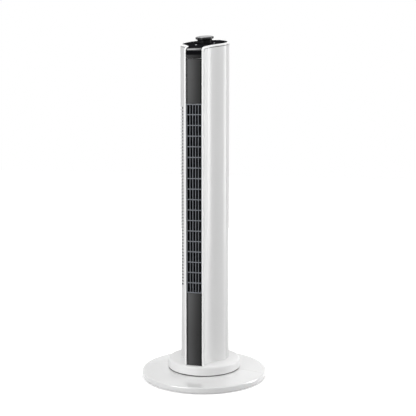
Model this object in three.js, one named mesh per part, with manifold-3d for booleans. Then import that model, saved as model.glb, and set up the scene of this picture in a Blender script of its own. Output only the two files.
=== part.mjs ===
// A tower fan on a round two-part base. A slim column with a narrow nose and flared
// wings holds a tall cross-flow impeller. It swings on a geared pivot in the base.
// Millimetres, +Z up. The origin is on the floor, on the axis that the column swings
// about. The outlet faces -Y, and +X is the right-hand side seen from behind it.
import * as THREE from "three";
import { mergeVertices } from "three/addons/utils/BufferGeometryUtils.js";
import Module from "manifold-3d";

const wasm = await Module();
wasm.setup();

// ---- Driving dimensions ----------------------------------------------------------

// Fits
const seatGap = 0.3; // between pieces that are pressed or screwed together
const seamGap = 0.4; // between two mouldings, along a seam that shows
const runGap = 2; // between the turntable and the base below it

// Base
const baseRadius = 160;
const baseUnderside = 2; // the skirt's height above the floor
const baseRimHeight = 16;
const baseCrownHeight = 23;
const baseWall = 2.7;
const baseRibWidth = 2;
const baseRibsPerHalf = 4;
const footCount = 4;
const footRadius = 9;
const footInset = 17; // from the rim in to the feet's centres

// Pivot housing, in the middle of the base
const neckWall = 2.5;
const neckRise = 14; // above the base's crown
const neckPlate = 3;
const neckClearance = 1.5; // inside the base's hole
const flangeWidth = 19.5;
const flangeBottom = 8;
const flangeThickness = 3;
const clampScrewInset = 7; // from the flange's edge
const clampScrewLength = 9.5;
const bearingInner = 12.5;
const bearingWall = 3.5;
const bearingBottom = 9.4;

// Turntable
const turntableOverhang = 0.6; // beyond the flange
const turntablePlate = 3;
const turntableWall = 3;
const turntableEdge = 6;
const spigotRadius = 12;
const spigotBore = 8;
const spigotBottom = 5;
const slideRingInner = 18;
const slideRingOuter = 26;
const slideRingThickness = 2.6;
const mountScrewLength = 12;
const mountRearX = 45;
const mountRearY = 25;
const mountFrontX = 20;
const mountFrontY = -58;

// Swing drive, in the space between the neck and the turntable
const driveHeight = 8;
const swingMotorClearance = 2; // from the motor to the bearing and to the neck's wall
const swingMotorHeight = 20;
const gearModule = 2;
const pinionTeeth = 12;
const ringTeeth = 55;
const pinionClearance = 1.5; // above the neck
const pinionHeight = 5.5;
const gearBacklash = 0.7;
const sectorHalfAngle = 52;
const sectorRim = 5;
const swingShaftRadius = 3;

// Column section, seen from above
const noseHalfWidth = 25;
const noseFront = 86; // from the swing axis forward to the lips
const noseSideDepth = 15;
const noseCorner = 3;
const wingFrontPull = 29; // how far the wing's curve leaves the nose straight back
const wingRearPull = 17.5; // how far it joins the rear round along its tangent
const rearRadius = 61.8;
const rearCentre = 8; // the rear round's centre, behind the swing axis
const wingRearY = -6; // the wings end here, and the right-hand seam follows
const leftSeamY = -30; // further forward, as the left side's slots reach onto its wing
const columnWall = 2.5;
const lipWidth = 6.2;
const lipDepth = 7.8;

// Column heights
const topFrontHeight = 837;
const topSlope = 11.3; // degrees that the top rises towards the back
const rimDepth = 7;
const topCornerRadius = 10;

// Front band, from the bottom up
const bandBulge = 1.3;
const bandThickness = 2.5;
const bandInset = 3; // from the lips' front back to the band's edges
const outletBottom = 233;
const outletDrop = 135; // the outlet, the window and the trim from the top's front down
const windowDrop = 25.4;
const trimDrop = 7.7;
const boardWindowHeight = 9;

// Outlet grille
const grilleBars = 17;
const grilleBarHeight = 2.6;
const grilleRibs = 4;
const grilleRibPitch = 7.15;
const grilleRibWidth = 3.4;
const grilleRibDepth = 8;
const grilleFrame = 2;

// Rear intake
const intakeSlots = 56;
const intakeBottomRise = 6; // above the outlet's bottom
const intakeTopDrop = 7.8; // below the outlet's top
const intakeSlotHeight = 4.2;
const intakeEdge = 3; // from the left seam back to the slots' ends
const intakeRightY = 34; // the slots reach less far forward on the right
const rearFacets = 7;

// Bulkheads and the air path between them
const bulkheadThickness = 3.5;
const lowerBulkheadDrop = 11; // below the outlet
const upperBulkheadRise = 6; // above the outlet
const lugHeight = 12;
const lugDepth = 8;
const ductWall = 2;
const ductMouth = 18.4;
const coverScrewRadius = 2;

// Impeller
const impellerRadius = 42;
const impellerBladeDepth = 9;
const impellerBlades = 16;
const impellerBladeThickness = 1.3;
const impellerDiscs = 3;
const impellerDisc = 2.2;
const impellerLowGap = 3.5; // to the lower bulkhead
const impellerHighGap = 6.5; // to the upper bulkhead
const impellerHubLength = 20;
const impellerHubFloor = 3;
const shaftRadius = 4;

// Fan motor
const motorRadius = 40;
const motorHeight = 64;
const damperHeight = 10; // between the motor and the lower bulkhead
const motorWall = 2.4;
const statorHeight = 26;
const rotorRadius = 22.4;
const damperRadius = 6;
const damperCircle = 30;

// Control panel and knob
const panelRecess = 1.2;
const panelThickness = 3;
const knobRadius = 23.2;
const knobWaist = 18.6;
const knobHeight = 16.2;
const knobY = 8;
const knobShaftRadius = 3;
const knobWall = 2.2;
const switchSide = 28;
const switchDepth = 16;
const switchNeck = 4.7;

// Electrical parts on the back of the front housing
const boardHalfWidth = 15;
const boardHeight = 90;
const boardThickness = 1.6;
const boardDrop = 4.3; // below the trim strip
const lampHeight = 3;
const transformerSize = [22, 16, 20]; // wide, deep and high
const relaySize = [12, 11, 17];
const capacitorSize = [18, 14, 36];
const capacitorTerminals = [10, 6, 6];
const capacitorRise = 58.2; // above the floor plate

// Cord inlet
const bushRadius = 4.7;
const bushBore = 3.2;
const bushHeight = 9;

// ---- Worked-out places -----------------------------------------------------------

const slope = THREE.MathUtils.degToRad(topSlope);
const footCircle = baseRadius - footInset;
const pinionPitch = (gearModule * pinionTeeth) / 2;
const ringPitch = (gearModule * ringTeeth) / 2;
const swingMotorOffset = ringPitch - pinionPitch;
const bearingOuter = bearingInner + bearingWall;
const swingMotorRadius = swingMotorOffset - bearingOuter - swingMotorClearance;
const neckRadius =
  swingMotorOffset + swingMotorRadius + swingMotorClearance + neckWall;
const flangeRadius = neckRadius + flangeWidth;
const turntableRadius = flangeRadius + turntableOverhang;
const baseHoleRadius = neckRadius + neckClearance;
const clampScrewCircle = flangeRadius - clampScrewInset;
const neckTop = baseCrownHeight + neckRise;
const turntableUnderside = neckTop + driveHeight;
const turntableTop = turntableUnderside + turntablePlate;
const pinionBottom = neckTop + pinionClearance;
const columnBottom = turntableTop + seatGap;
const bandHalf = noseHalfWidth - lipWidth;
const bandFitHalf = bandHalf - seatGap;
const bandEdgeY = -noseFront + bandInset;
const bandBackY = bandEdgeY + bandThickness;
const backPlateY = bandBackY + seatGap;
const postBackY = -noseFront + lipDepth;
const innerFrontY = postBackY + seatGap;
const floorPlateTop = columnBottom + bulkheadThickness;
const outletTop = topFrontHeight - outletDrop;
const windowBottom = topFrontHeight - windowDrop;
const trimBottom = topFrontHeight - trimDrop;
const intakeBottom = outletBottom + intakeBottomRise;
const intakePitch =
  (outletTop - intakeTopDrop - intakeSlotHeight - intakeBottom) / (intakeSlots - 1);
const lowerBulkheadBottom = outletBottom - lowerBulkheadDrop;
const upperBulkheadBottom = outletTop + upperBulkheadRise;
const upperBulkheadTop = upperBulkheadBottom + bulkheadThickness;
const impellerBottom = lowerBulkheadBottom + bulkheadThickness + impellerLowGap;
const impellerTop = upperBulkheadBottom - impellerHighGap;
const motorTop = lowerBulkheadBottom - damperHeight;
const motorBottom = motorTop - motorHeight;

// Height of the sloped top over a depth y, lowered by drop.
const topHeight = (y, drop = 0) =>
  topFrontHeight + (y + noseFront) * Math.tan(slope) - drop;

// ---- Solids ----------------------------------------------------------------------

const mergeDistance = 1e-4;

// A closed geometry as a solid, with its faces turned outwards.
function solidOf(geometry) {
  const bare = geometry.index ? geometry.toNonIndexed() : geometry.clone();
  bare.deleteAttribute("normal");
  bare.deleteAttribute("uv");
  const merged = mergeVertices(bare, mergeDistance);
  const p = merged.attributes.position;
  const corners = merged.index.array;
  const faces = [];
  let volume = 0;
  const [a, b, c] = [0, 1, 2].map(() => new THREE.Vector3());
  for (let i = 0; i < corners.length; i += 3) {
    const [i0, i1, i2] = corners.slice(i, i + 3);
    if (i0 === i1 || i1 === i2 || i2 === i0) continue;
    faces.push([i0, i1, i2]);
    a.fromBufferAttribute(p, i0);
    b.fromBufferAttribute(p, i1);
    c.fromBufferAttribute(p, i2);
    volume += a.dot(b.cross(c));
  }
  const turned = volume < 0 ? faces.map(([i, j, k]) => [i, k, j]) : faces;
  return new wasm.Manifold(
    new wasm.Mesh({
      numProp: 3,
      vertProperties: p.array,
      triVerts: new Uint32Array(turned.flat()),
    }),
  );
}

const join = (first, ...rest) => rest.reduce((sum, s) => sum.add(s), first);
const cut = (first, ...rest) => rest.reduce((sum, s) => sum.subtract(s), first);

// A box between two corners.
function block(x0, x1, y0, y1, z0, z1) {
  const g = new THREE.BoxGeometry(x1 - x0, y1 - y0, z1 - z0);
  return solidOf(g.translate((x0 + x1) / 2, (y0 + y1) / 2, (z0 + z1) / 2));
}

// A flat outline, as a list of [x, y], raised from one height to another.
function prism(points, bottom, top) {
  const shape = new THREE.Shape(points.map(([x, y]) => new THREE.Vector2(x, y)));
  const depth = top - bottom;
  const g = new THREE.ExtrudeGeometry(shape, { depth, bevelEnabled: false });
  return solidOf(g.translate(0, 0, bottom));
}

// A profile of [y, z] points, as wide to the left of the middle as to the right.
function sidePrism(points, halfWidth) {
  const shape = new THREE.Shape(points.map(([y, z]) => new THREE.Vector2(y, z)));
  const depth = 2 * halfWidth;
  const g = new THREE.ExtrudeGeometry(shape, { depth, bevelEnabled: false });
  g.translate(0, 0, -halfWidth);
  const axes = new THREE.Matrix4().makeBasis(
    new THREE.Vector3(0, 1, 0),
    new THREE.Vector3(0, 0, 1),
    new THREE.Vector3(1, 0, 0),
  );
  return solidOf(g.applyMatrix4(axes));
}

// A profile of [radius, z] points turned about the Z axis. It closes on itself.
function turned(profile, segments, x = 0, y = 0) {
  const loop = [...profile, profile[0]];
  const points = loop.map(([r, z]) => new THREE.Vector2(r, z));
  const g = new THREE.LatheGeometry(points, segments);
  return solidOf(g.rotateX(Math.PI / 2).translate(x, y, 0));
}

const rod = (radius, bottom, top, segments, x = 0, y = 0) =>
  turned([[0, bottom], [radius, bottom], [radius, top], [0, top]], segments, x, y);

const tube = (inner, outer, bottom, top, segments, x = 0, y = 0) =>
  turned(
    [[inner, bottom], [outer, bottom], [outer, top], [inner, top]],
    segments, x, y,
  );

const polar = (radius, degrees) => {
  const a = THREE.MathUtils.degToRad(degrees);
  return [radius * Math.cos(a), radius * Math.sin(a)];
};

// The same solid turned by a matrix, such as a screw laid on its side.
const placed = (solid, matrix) => solid.transform(matrix.elements);

// ---- Meshes ----------------------------------------------------------------------

const finishes = {
  whiteGloss: { color: 0xe9eaea, roughness: 0.22, metalness: 0 },
  blackGloss: { color: 0x0c0c0e, roughness: 0.12, metalness: 0 },
  smokeGloss: { color: 0x3c3d40, roughness: 0.16, metalness: 0 },
  grilleBlack: { color: 0x303338, roughness: 0.4, metalness: 0 },
  satinSilver: { color: 0xb9bbbe, roughness: 0.3, metalness: 1 },
  darkPlastic: { color: 0x232426, roughness: 0.55, metalness: 0 },
  greyPlastic: { color: 0x8d8f92, roughness: 0.5, metalness: 0 },
  acetal: { color: 0xe8e6dc, roughness: 0.45, metalness: 0 },
  rubber: { color: 0x1a1a1b, roughness: 0.85, metalness: 0 },
  steel: { color: 0x9a9da1, roughness: 0.35, metalness: 1 },
  zinc: { color: 0xb4b7ba, roughness: 0.4, metalness: 1 },
  lamination: { color: 0x5c5f66, roughness: 0.5, metalness: 1 },
  boardGreen: { color: 0x1f5a3a, roughness: 0.5, metalness: 0 },
};

function meshOf(name, solid, finish) {
  const made = solid.getMesh();
  const g = new THREE.BufferGeometry();
  const count = made.numVert;
  const positions = new Float32Array(count * 3);
  for (let i = 0; i < count; i++) {
    positions.set(made.vertProperties.subarray(i * made.numProp, i * made.numProp + 3), i * 3);
  }
  g.setAttribute("position", new THREE.BufferAttribute(positions, 3));
  g.setIndex(new THREE.BufferAttribute(made.triVerts, 1));
  g.computeVertexNormals();
  const mesh = new THREE.Mesh(g, new THREE.MeshStandardMaterial(finishes[finish]));
  mesh.name = name;
  return mesh;
}

function groupAt(x, y, z, ...meshes) {
  const group = new THREE.Group();
  group.position.set(x, y, z);
  group.add(...meshes);
  return group;
}

// A pan-head screw whose shank points up from the head's seat at z = 0.
function screwUp(length) {
  const headRadius = 2 * coverScrewRadius;
  const headHeight = 1.25 * coverScrewRadius;
  return turned(
    [
      [0, -headHeight],
      [0.8 * headRadius, -headHeight],
      [headRadius, 0],
      [coverScrewRadius, 0],
      [coverScrewRadius, length],
      [0, length],
    ],
    6,
  );
}

const screwHole = coverScrewRadius + seatGap;
const screwBoss = coverScrewRadius + 2.5;

// ---- Base ------------------------------------------------------------------------

// The crown's top from the rim to the hole, lowered by drop.
const crownLine = (drop) => [
  [baseRadius - 10, baseRimHeight + 2 - drop],
  [baseRadius - 40, (baseRimHeight + baseCrownHeight) / 2 + 1.5 - drop],
  [flangeRadius + 6, baseCrownHeight - drop],
];

// The crown and its outer skirt, one wall thick.
function baseProfile() {
  const r = baseRadius;
  const w = baseWall;
  const top = baseRimHeight;
  return [
    [r - 1.5, baseUnderside],
    [r, baseUnderside + 3],
    [r, top - 3],
    [r - 1.2, top - 0.2],
    [r - 4, top + 1.2],
    ...crownLine(0),
    [baseHoleRadius, baseCrownHeight],
    [baseHoleRadius, baseCrownHeight - w],
    ...crownLine(w).reverse(),
    [r - w, top - 4],
    [r - w - 1, baseUnderside],
  ];
}

const footAngles = (half) => {
  const perHalf = footCount / 2;
  return Array.from(
    { length: perHalf },
    (_, i) => (half === "front" ? 180 : 0) + (180 * (i + 0.5)) / perHalf,
  );
};

const clampAngles = (half) => (half === "front" ? [225, 315] : [45, 135]);

// What stiffens one half from below: ribs, foot bosses and clamp-screw bosses. Each
// runs up into the crown's wall.
function baseUnderpinning(half) {
  const start = half === "front" ? 180 : 0;
  const bite = baseWall / 2;
  const inner = flangeRadius + 3;
  const outer = baseRadius - baseWall - 2;
  const ribProfile = [
    [inner, baseUnderside + 4],
    [outer, baseUnderside + 4],
    [outer, baseRimHeight - bite],
    ...crownLine(bite),
    [inner, baseCrownHeight - bite],
  ];
  const ribs = Array.from({ length: baseRibsPerHalf }, (_, i) => {
    const angle = start - 90 + (180 * (i + 0.5)) / baseRibsPerHalf;
    const turn = new THREE.Matrix4().makeRotationZ(THREE.MathUtils.degToRad(angle));
    return placed(sidePrism(ribProfile, baseRibWidth / 2), turn);
  });
  const footTop = baseRimHeight + 2 - bite;
  const feet = footAngles(half).map((a) =>
    rod(footRadius + 1, baseUnderside, footTop, 10, ...polar(footCircle, a)),
  );
  const bottom = flangeBottom + flangeThickness + seatGap;
  const bosses = clampAngles(half).map((a) => {
    const at = polar(clampScrewCircle, a);
    return cut(
      rod(screwBoss, bottom, baseCrownHeight - bite, 8, ...at),
      rod(screwHole, bottom - 1, baseCrownHeight - baseWall, 8, ...at),
    );
  });
  return join(...ribs, ...feet, ...bosses);
}

function baseHalf(half) {
  const side = half === "front" ? -1 : 1;
  const far = baseRadius + 10;
  const near = seamGap / 2;
  const [y0, y1] = side < 0 ? [-far, -near] : [near, far];
  const keep = block(-far, far, y0, y1, 0, baseCrownHeight + 1);
  const shell = turned(baseProfile(), 36);
  const whole = join(shell, baseUnderpinning(half)).intersect(keep);
  return half === "front" ? whole : cut(whole, cordHole());
}

const layBack = new THREE.Matrix4().makeRotationX(-Math.PI / 2);

// Turned pieces stand on Z. This lays one along +Y, at the height of the cord inlet.
const atCordInlet = (solid) =>
  placed(placed(solid, layBack), new THREE.Matrix4().makeTranslation(0, 0, bushHeight));

const bushFlange = bushRadius + 1.3;
const bushFlangeDepth = 1.3;
const bushFaceY = baseRadius - seatGap;

// The way through the rim, with a shallow seat for the bushing's flange.
const cordHole = () =>
  atCordInlet(
    join(
      rod(bushRadius + seatGap, baseRadius - 12, baseRadius + 5, 12),
      rod(bushFlange + seatGap, bushFaceY - bushFlangeDepth - seatGap, baseRadius + 5, 12),
    ),
  );

function cordBushing() {
  const inner = baseRadius - 9;
  return atCordInlet(
    turned(
      [
        [bushBore, inner],
        [bushRadius, inner],
        [bushRadius, bushFaceY - bushFlangeDepth],
        [bushFlange, bushFaceY - bushFlangeDepth],
        [bushFlange, bushFaceY],
        [bushBore, bushFaceY],
      ],
      12,
    ),
  );
}

function baseFoot() {
  const top = baseUnderside - seatGap;
  return turned([[0, 0], [footRadius - 0.8, 0], [footRadius, top], [0, top]], 14);
}

// The flange clamps both base halves. The neck carries the swing motor and the pivot.
function pivotHousing() {
  const inner = neckRadius - neckWall;
  const flangeTop = flangeBottom + flangeThickness;
  const plateBottom = neckTop - neckPlate;
  const body = turned(
    [
      [bearingInner, bearingBottom],
      [bearingOuter, bearingBottom],
      [bearingOuter, plateBottom],
      [inner, plateBottom],
      [inner, flangeBottom],
      [flangeRadius, flangeBottom],
      [flangeRadius, flangeTop],
      [neckRadius, flangeTop],
      [neckRadius, neckTop],
      [bearingInner, neckTop],
    ],
    28,
  );
  const holes = ["front", "rear"].flatMap(clampAngles).map((a) =>
    rod(screwHole, flangeBottom - 1, flangeTop + 1, 8, ...polar(clampScrewCircle, a)),
  );
  const shaftHole = rod(
    swingShaftRadius + 2, plateBottom - 1, neckTop + 1, 16, 0, swingMotorOffset,
  );
  return cut(body, shaftHole, ...holes);
}

const slideRingBottom = neckTop + seatGap;
const slideRingTop = slideRingBottom + slideRingThickness;

// ---- Swing drive -----------------------------------------------------------------

const swingMotorTop = neckTop - neckPlate - seatGap;
const swingMotorBottom = swingMotorTop - swingMotorHeight;
const swingShaftBottom = swingMotorTop - 8;

function swingMotor() {
  const can = turned(
    [
      [0, swingMotorBottom],
      [swingMotorRadius - 1, swingMotorBottom],
      [swingMotorRadius, swingMotorBottom + 1],
      [swingMotorRadius, swingMotorTop],
      [0, swingMotorTop],
    ],
    20,
  );
  const bore = swingShaftRadius + seatGap;
  return cut(can, rod(bore, swingShaftBottom - seatGap, swingMotorTop + 1, 16));
}

// One gear tooth as [radius, angle] points from its right root to its left root.
// sign is +1 for teeth that point outwards and -1 for teeth that point inwards.
function toothPoints(pitch, teeth, index, sign, startAngle) {
  const pressure = Math.tan(THREE.MathUtils.degToRad(20));
  const half = (Math.PI * gearModule) / 4 - gearBacklash / 2;
  const tip = 0.8 * gearModule;
  const root = 1.2 * gearModule;
  const angle = startAngle + (2 * Math.PI * index) / teeth;
  const at = (out, width) => {
    const r = pitch + sign * out;
    return [r * Math.cos(angle + width / r), r * Math.sin(angle + width / r)];
  };
  const wide = half + root * pressure;
  const thin = half - tip * pressure;
  return [at(-root, -wide), at(tip, -thin), at(tip, thin), at(-root, wide)];
}

// The pinion has a gap, and the ring a tooth, on the line between their centres.
function swingPinion() {
  const start = Math.PI / 2 + Math.PI / pinionTeeth;
  const outline = Array.from({ length: pinionTeeth }, (_, i) =>
    toothPoints(pinionPitch, pinionTeeth, i, 1, start),
  ).flat();
  const gear = prism(outline, pinionBottom, pinionBottom + pinionHeight);
  const bore = swingShaftRadius + seatGap;
  return cut(gear, rod(bore, pinionBottom - 1, pinionBottom + pinionHeight + 1, 16));
}

function swingGearSector() {
  const step = 360 / ringTeeth;
  const each = Math.floor(sectorHalfAngle / step);
  const teeth = Array.from({ length: 2 * each + 1 }, (_, i) =>
    toothPoints(ringPitch, ringTeeth, i - each, -1, Math.PI / 2),
  ).flat();
  const outer = ringPitch + 1.2 * gearModule + sectorRim;
  const arcSteps = 20;
  const end = (each + 0.5) * step;
  const rim = Array.from({ length: arcSteps + 1 }, (_, i) =>
    polar(outer, 90 + end - (2 * end * i) / arcSteps),
  );
  return prism([...teeth, ...rim], pinionBottom, turntableUnderside - seatGap);
}

// ---- Turntable -------------------------------------------------------------------

const mountScrews = [
  [mountRearX, mountRearY],
  [-mountRearX, mountRearY],
  [mountFrontX, mountFrontY],
  [-mountFrontX, mountFrontY],
];

function turntable() {
  const bottom = baseCrownHeight + runGap;
  const inner = turntableRadius - turntableWall;
  const edge = Array.from({ length: 4 }, (_, i) => {
    const [r, z] = polar(turntableEdge, 30 * i);
    return [turntableRadius - turntableEdge + r, turntableTop - turntableEdge + z];
  });
  const body = turned(
    [
      [spigotBore, spigotBottom],
      [spigotRadius, spigotBottom],
      [spigotRadius, turntableUnderside],
      [slideRingInner, turntableUnderside],
      [slideRingInner, slideRingTop + seatGap],
      [slideRingOuter, slideRingTop + seatGap],
      [slideRingOuter, turntableUnderside],
      [inner, turntableUnderside],
      [inner, bottom],
      [turntableRadius, bottom],
      ...edge,
      [spigotBore, turntableTop],
    ],
    36,
  );
  const holes = mountScrews.map(([x, y]) =>
    rod(screwHole, turntableUnderside - 1, turntableTop + 1, 8, x, y),
  );
  return cut(body, ...holes);
}

const pivotNutTop = bearingBottom - seatGap;

const pivotNut = () =>
  prism(
    Array.from({ length: 8 }, (_, i) => polar(spigotRadius + 7, 45 * i)),
    spigotBottom + 0.5,
    pivotNutTop,
  ).subtract(rod(spigotRadius + seatGap, spigotBottom - 1, pivotNutTop + 1, 24));

// ---- Column section --------------------------------------------------------------

// The angle, seen from the rear round's centre, at which the wing joins it.
const wingEndAngle = Math.asin((wingRearY - rearCentre) / rearRadius);
const rearSweep = Math.PI - 2 * wingEndAngle;

const rearPoint = (radius, angle) => [
  radius * Math.cos(angle),
  rearCentre + radius * Math.sin(angle),
];

// The right-hand nose corner, moved inwards. It is sharp once the inset eats the round.
function noseCornerPoints(inset) {
  const x = noseHalfWidth - noseCorner;
  const y = -noseFront + noseCorner;
  const radius = noseCorner - inset;
  if (radius <= 0) return [[x + radius, y - radius]];
  return [-90, -45, 0].map((a) => {
    const [dx, dy] = polar(radius, a);
    return [x + dx, y + dy];
  });
}

// The right-hand wing from the nose to the rear round, moved inwards by inset.
function wingPoints(inset) {
  const start = new THREE.Vector2(noseHalfWidth, -noseFront + noseSideDepth);
  const end = new THREE.Vector2(...rearPoint(rearRadius, wingEndAngle));
  const along = new THREE.Vector2(-Math.sin(wingEndAngle), Math.cos(wingEndAngle));
  const curve = new THREE.CubicBezierCurve(
    start,
    start.clone().add(new THREE.Vector2(0, wingFrontPull)),
    end.clone().sub(along.multiplyScalar(wingRearPull)),
    end,
  );
  const steps = 8;
  return Array.from({ length: steps + 1 }, (_, i) => {
    const p = curve.getPoint(i / steps);
    const t = curve.getTangent(i / steps);
    return [p.x - t.y * inset, p.y + t.x * inset];
  });
}

// The whole section, anticlockwise seen from above, moved inwards by inset.
function columnOutline(inset = 0) {
  const right = [...noseCornerPoints(inset), ...wingPoints(inset)];
  const rear = Array.from({ length: rearFacets - 1 }, (_, i) =>
    rearPoint(rearRadius - inset, wingEndAngle + (rearSweep * (i + 1)) / rearFacets),
  );
  const left = right.map(([x, y]) => [-x, y]).reverse();
  return [...right, ...rear, ...left];
}

const reach = 130; // beyond the column on every side
const above = topHeight(reach) + 20;

// Everything under the sloped top, lowered by drop.
const underTop = (drop) =>
  sidePrism(
    [
      [-reach, 0],
      [reach, 0],
      [reach, topHeight(reach, drop)],
      [-reach, topHeight(-reach, drop)],
    ],
    reach,
  );

const columnPrism = (inset, bottom, top) => prism(columnOutline(inset), bottom, top);

// The skin of the column with its thick rim at the top, before it is parted.
function columnSkin() {
  const full = columnPrism(0, columnBottom, above).intersect(underTop(0));
  const cavity = columnPrism(columnWall, 0, above).intersect(underTop(rimDepth));
  const well = columnPrism(lipWidth, 0, above);
  return cut(full, cavity, well);
}

const behind = (y) => block(-reach, reach, y, reach, 0, above);

// The space in front of both seams, each side up to its own.
const beforeSeams = () =>
  join(
    block(0, reach, -reach, wingRearY - seamGap / 2, 0, above),
    block(-reach, 0, -reach, leftSeamY - seamGap / 2, 0, above),
  );

const behindSeams = () =>
  join(
    block(0, reach, wingRearY + seamGap / 2, reach, 0, above),
    block(-reach, 0, leftSeamY + seamGap / 2, reach, 0, above),
  );

// Rounds the lips' top front corners, seen from the side.
function lipCornerCutter() {
  const r = topCornerRadius;
  const cy = -noseFront + r;
  const cz = topHeight(cy) - r / Math.cos(slope);
  const steps = 6;
  const arc = Array.from({ length: steps + 1 }, (_, i) => {
    const a = Math.PI - ((Math.PI / 2 - slope) * i) / steps;
    return [cy + r * Math.cos(a), cz + r * Math.sin(a)];
  });
  const last = arc[arc.length - 1];
  return sidePrism([...arc, [last[0], above], [-reach, above], [-reach, cz]], reach);
}

// ---- Front housing ---------------------------------------------------------------

function lipPosts() {
  const outer = noseHalfWidth - columnWall / 2;
  const y0 = -noseFront + columnWall / 2;
  const post = (x0, x1) => block(x0, x1, y0, postBackY, columnBottom, above);
  return join(post(bandHalf, outer), post(-outer, -bandHalf)).intersect(underTop(1));
}

function frontHousing() {
  const skin = cut(
    columnSkin(),
    block(-bandHalf, bandHalf, -reach, postBackY, 0, above),
  );
  const fascia = join(skin.intersect(beforeSeams()), lipPosts());
  const shaped = cut(fascia, lipCornerCutter());
  const plate = (z0, z1) =>
    block(-bandHalf - 1, bandHalf + 1, backPlateY, postBackY, z0, z1);
  const upper = plate(outletTop, above).intersect(underTop(panelRecess + panelThickness + 2));
  const boardWindow = block(
    -12, 12, -reach, postBackY + 1,
    trimBottom - seatGap - boardWindowHeight, trimBottom - seatGap,
  );
  return cut(join(shaped, plate(columnBottom, outletBottom), upper), boardWindow);
}

const ribX = (i) => (i - (grilleRibs - 1) / 2) * grilleRibPitch;

// The band's bowed front. Its corners lie on the grille's ribs, so that each cell
// between two ribs is flat.
function bandBow() {
  const ribs = Array.from({ length: grilleRibs }, (_, i) => ribX(i));
  const stations = [-bandFitHalf, ...ribs, bandFitHalf];
  return stations.map((x) => [x, bandEdgeY - bandBulge * (1 - (x / bandFitHalf) ** 2)]);
}

// A strip of the front band: bowed in front, flat behind.
const bandStrip = (bottom, top) =>
  prism([...bandBow(), [bandFitHalf, bandBackY], [-bandFitHalf, bandBackY]], bottom, top);

const bandPitch = (outletTop - outletBottom) / (grilleBars + 1);

// The band's section with the grille's deep ribs behind it.
function bandComb(bottom, top) {
  const half = grilleRibWidth / 2;
  const deep = bandEdgeY + grilleRibDepth;
  const teeth = Array.from({ length: grilleRibs }, (_, i) => ribX(i)).flatMap((x) => [
    [x - half, bandBackY],
    [x - half, deep],
    [x + half, deep],
    [x + half, bandBackY],
  ]);
  const back = [[-bandFitHalf, bandBackY], ...teeth, [bandFitHalf, bandBackY]];
  return prism([...bandBow(), ...back.reverse()], bottom, top);
}

// A bowed plate pierced by cells, with deep ribs behind.
function outletGrille() {
  const bottom = outletBottom + seatGap;
  const top = outletTop - seatGap;
  const edges = [
    -bandFitHalf + grilleFrame - grilleRibWidth / 2,
    ...Array.from({ length: grilleRibs }, (_, i) => ribX(i)),
    bandFitHalf - grilleFrame + grilleRibWidth / 2,
  ];
  const heights = Array.from({ length: grilleBars + 2 }, (_, i) => {
    const z = outletBottom + bandPitch * i;
    const lift = i === 0 ? grilleFrame - grilleBarHeight / 2 : 0;
    const sink = i === grilleBars + 1 ? grilleFrame - grilleBarHeight / 2 : 0;
    return z + lift - sink;
  });
  const cells = [];
  for (let column = 0; column <= grilleRibs; column++) {
    for (let row = 0; row <= grilleBars; row++) {
      cells.push(
        block(
          edges[column] + grilleRibWidth / 2,
          edges[column + 1] - grilleRibWidth / 2,
          -reach,
          bandBackY + 1,
          heights[row] + grilleBarHeight / 2,
          heights[row + 1] - grilleBarHeight / 2,
        ),
      );
    }
  }
  return cut(bandComb(bottom, top), ...cells);
}

// ---- Rear shell ------------------------------------------------------------------

const coverScrewHeights = [
  floorPlateTop + lugHeight / 2,
  lowerBulkheadBottom - lugHeight / 2,
  upperBulkheadTop + lugHeight / 2,
];

// The flat facet at the very back: how far back it lies, and half its width.
const rearFaceY = rearCentre + rearRadius * Math.cos(rearSweep / (2 * rearFacets));
const rearFaceHalf = rearRadius * Math.sin(rearSweep / (2 * rearFacets));

// A screw, or its hole, that points forward through the middle of the rear face.
const fromRear = (solid, z) =>
  placed(
    placed(solid, new THREE.Matrix4().makeRotationX(Math.PI / 2)),
    new THREE.Matrix4().makeTranslation(0, rearFaceY, z),
  );

function rearShell() {
  const shell = columnSkin().intersect(behindSeams());
  const spine = rearFaceHalf + 0.8;
  const slots = [];
  for (let i = 0; i < intakeSlots; i++) {
    const z0 = intakeBottom + intakePitch * i;
    const z1 = z0 + intakeSlotHeight;
    slots.push(block(spine, reach, intakeRightY, reach, z0, z1));
    slots.push(block(-reach, -spine, leftSeamY + intakeEdge, reach, z0, z1));
  }
  const holes = coverScrewHeights.map((z) =>
    fromRear(rod(screwHole, -3, columnWall + 3, 8), z),
  );
  return cut(shell, ...slots, ...holes);
}

// ---- Plates across the column ----------------------------------------------------

// A plate that fills the section, with a lug that the rear screws bite into.
function crossPlate(bottom, lugBottom, lugTop) {
  const inset = columnWall + seatGap;
  const top = bottom + bulkheadThickness;
  const plate = columnPrism(inset, bottom, top).intersect(behind(innerFrontY));
  const back = rearFaceY - inset;
  const half = screwBoss + 2;
  const lug = block(-half, half, back - lugDepth, back, lugBottom, lugTop);
  return join(plate, lug);
}

const lugHole = (z) =>
  fromRear(rod(screwHole, columnWall, columnWall + lugDepth - 0.5, 8), z);

function floorPlate() {
  const holeTop = turntableUnderside + mountScrewLength + 1;
  const bosses = mountScrews.map(([x, y]) =>
    rod(screwBoss, columnBottom, holeTop + 2, 6, x, y),
  );
  const holes = mountScrews.map(([x, y]) =>
    rod(screwHole, columnBottom - 1, holeTop, 6, x, y),
  );
  const plate = crossPlate(columnBottom, columnBottom, floorPlateTop + lugHeight);
  const wireHole = rod(spigotBore, columnBottom - 1, floorPlateTop + 1, 16);
  return cut(join(plate, ...bosses), wireHole, ...holes, lugHole(coverScrewHeights[0]));
}

function lowerBulkhead() {
  const top = lowerBulkheadBottom + bulkheadThickness;
  const plate = crossPlate(lowerBulkheadBottom, lowerBulkheadBottom - lugHeight, top);
  const bore = rod(
    shaftRadius + 5, lowerBulkheadBottom - 1, top + 1, 20, 0, rearCentre,
  );
  return cut(plate, bore, lugHole(coverScrewHeights[1]));
}

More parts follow.
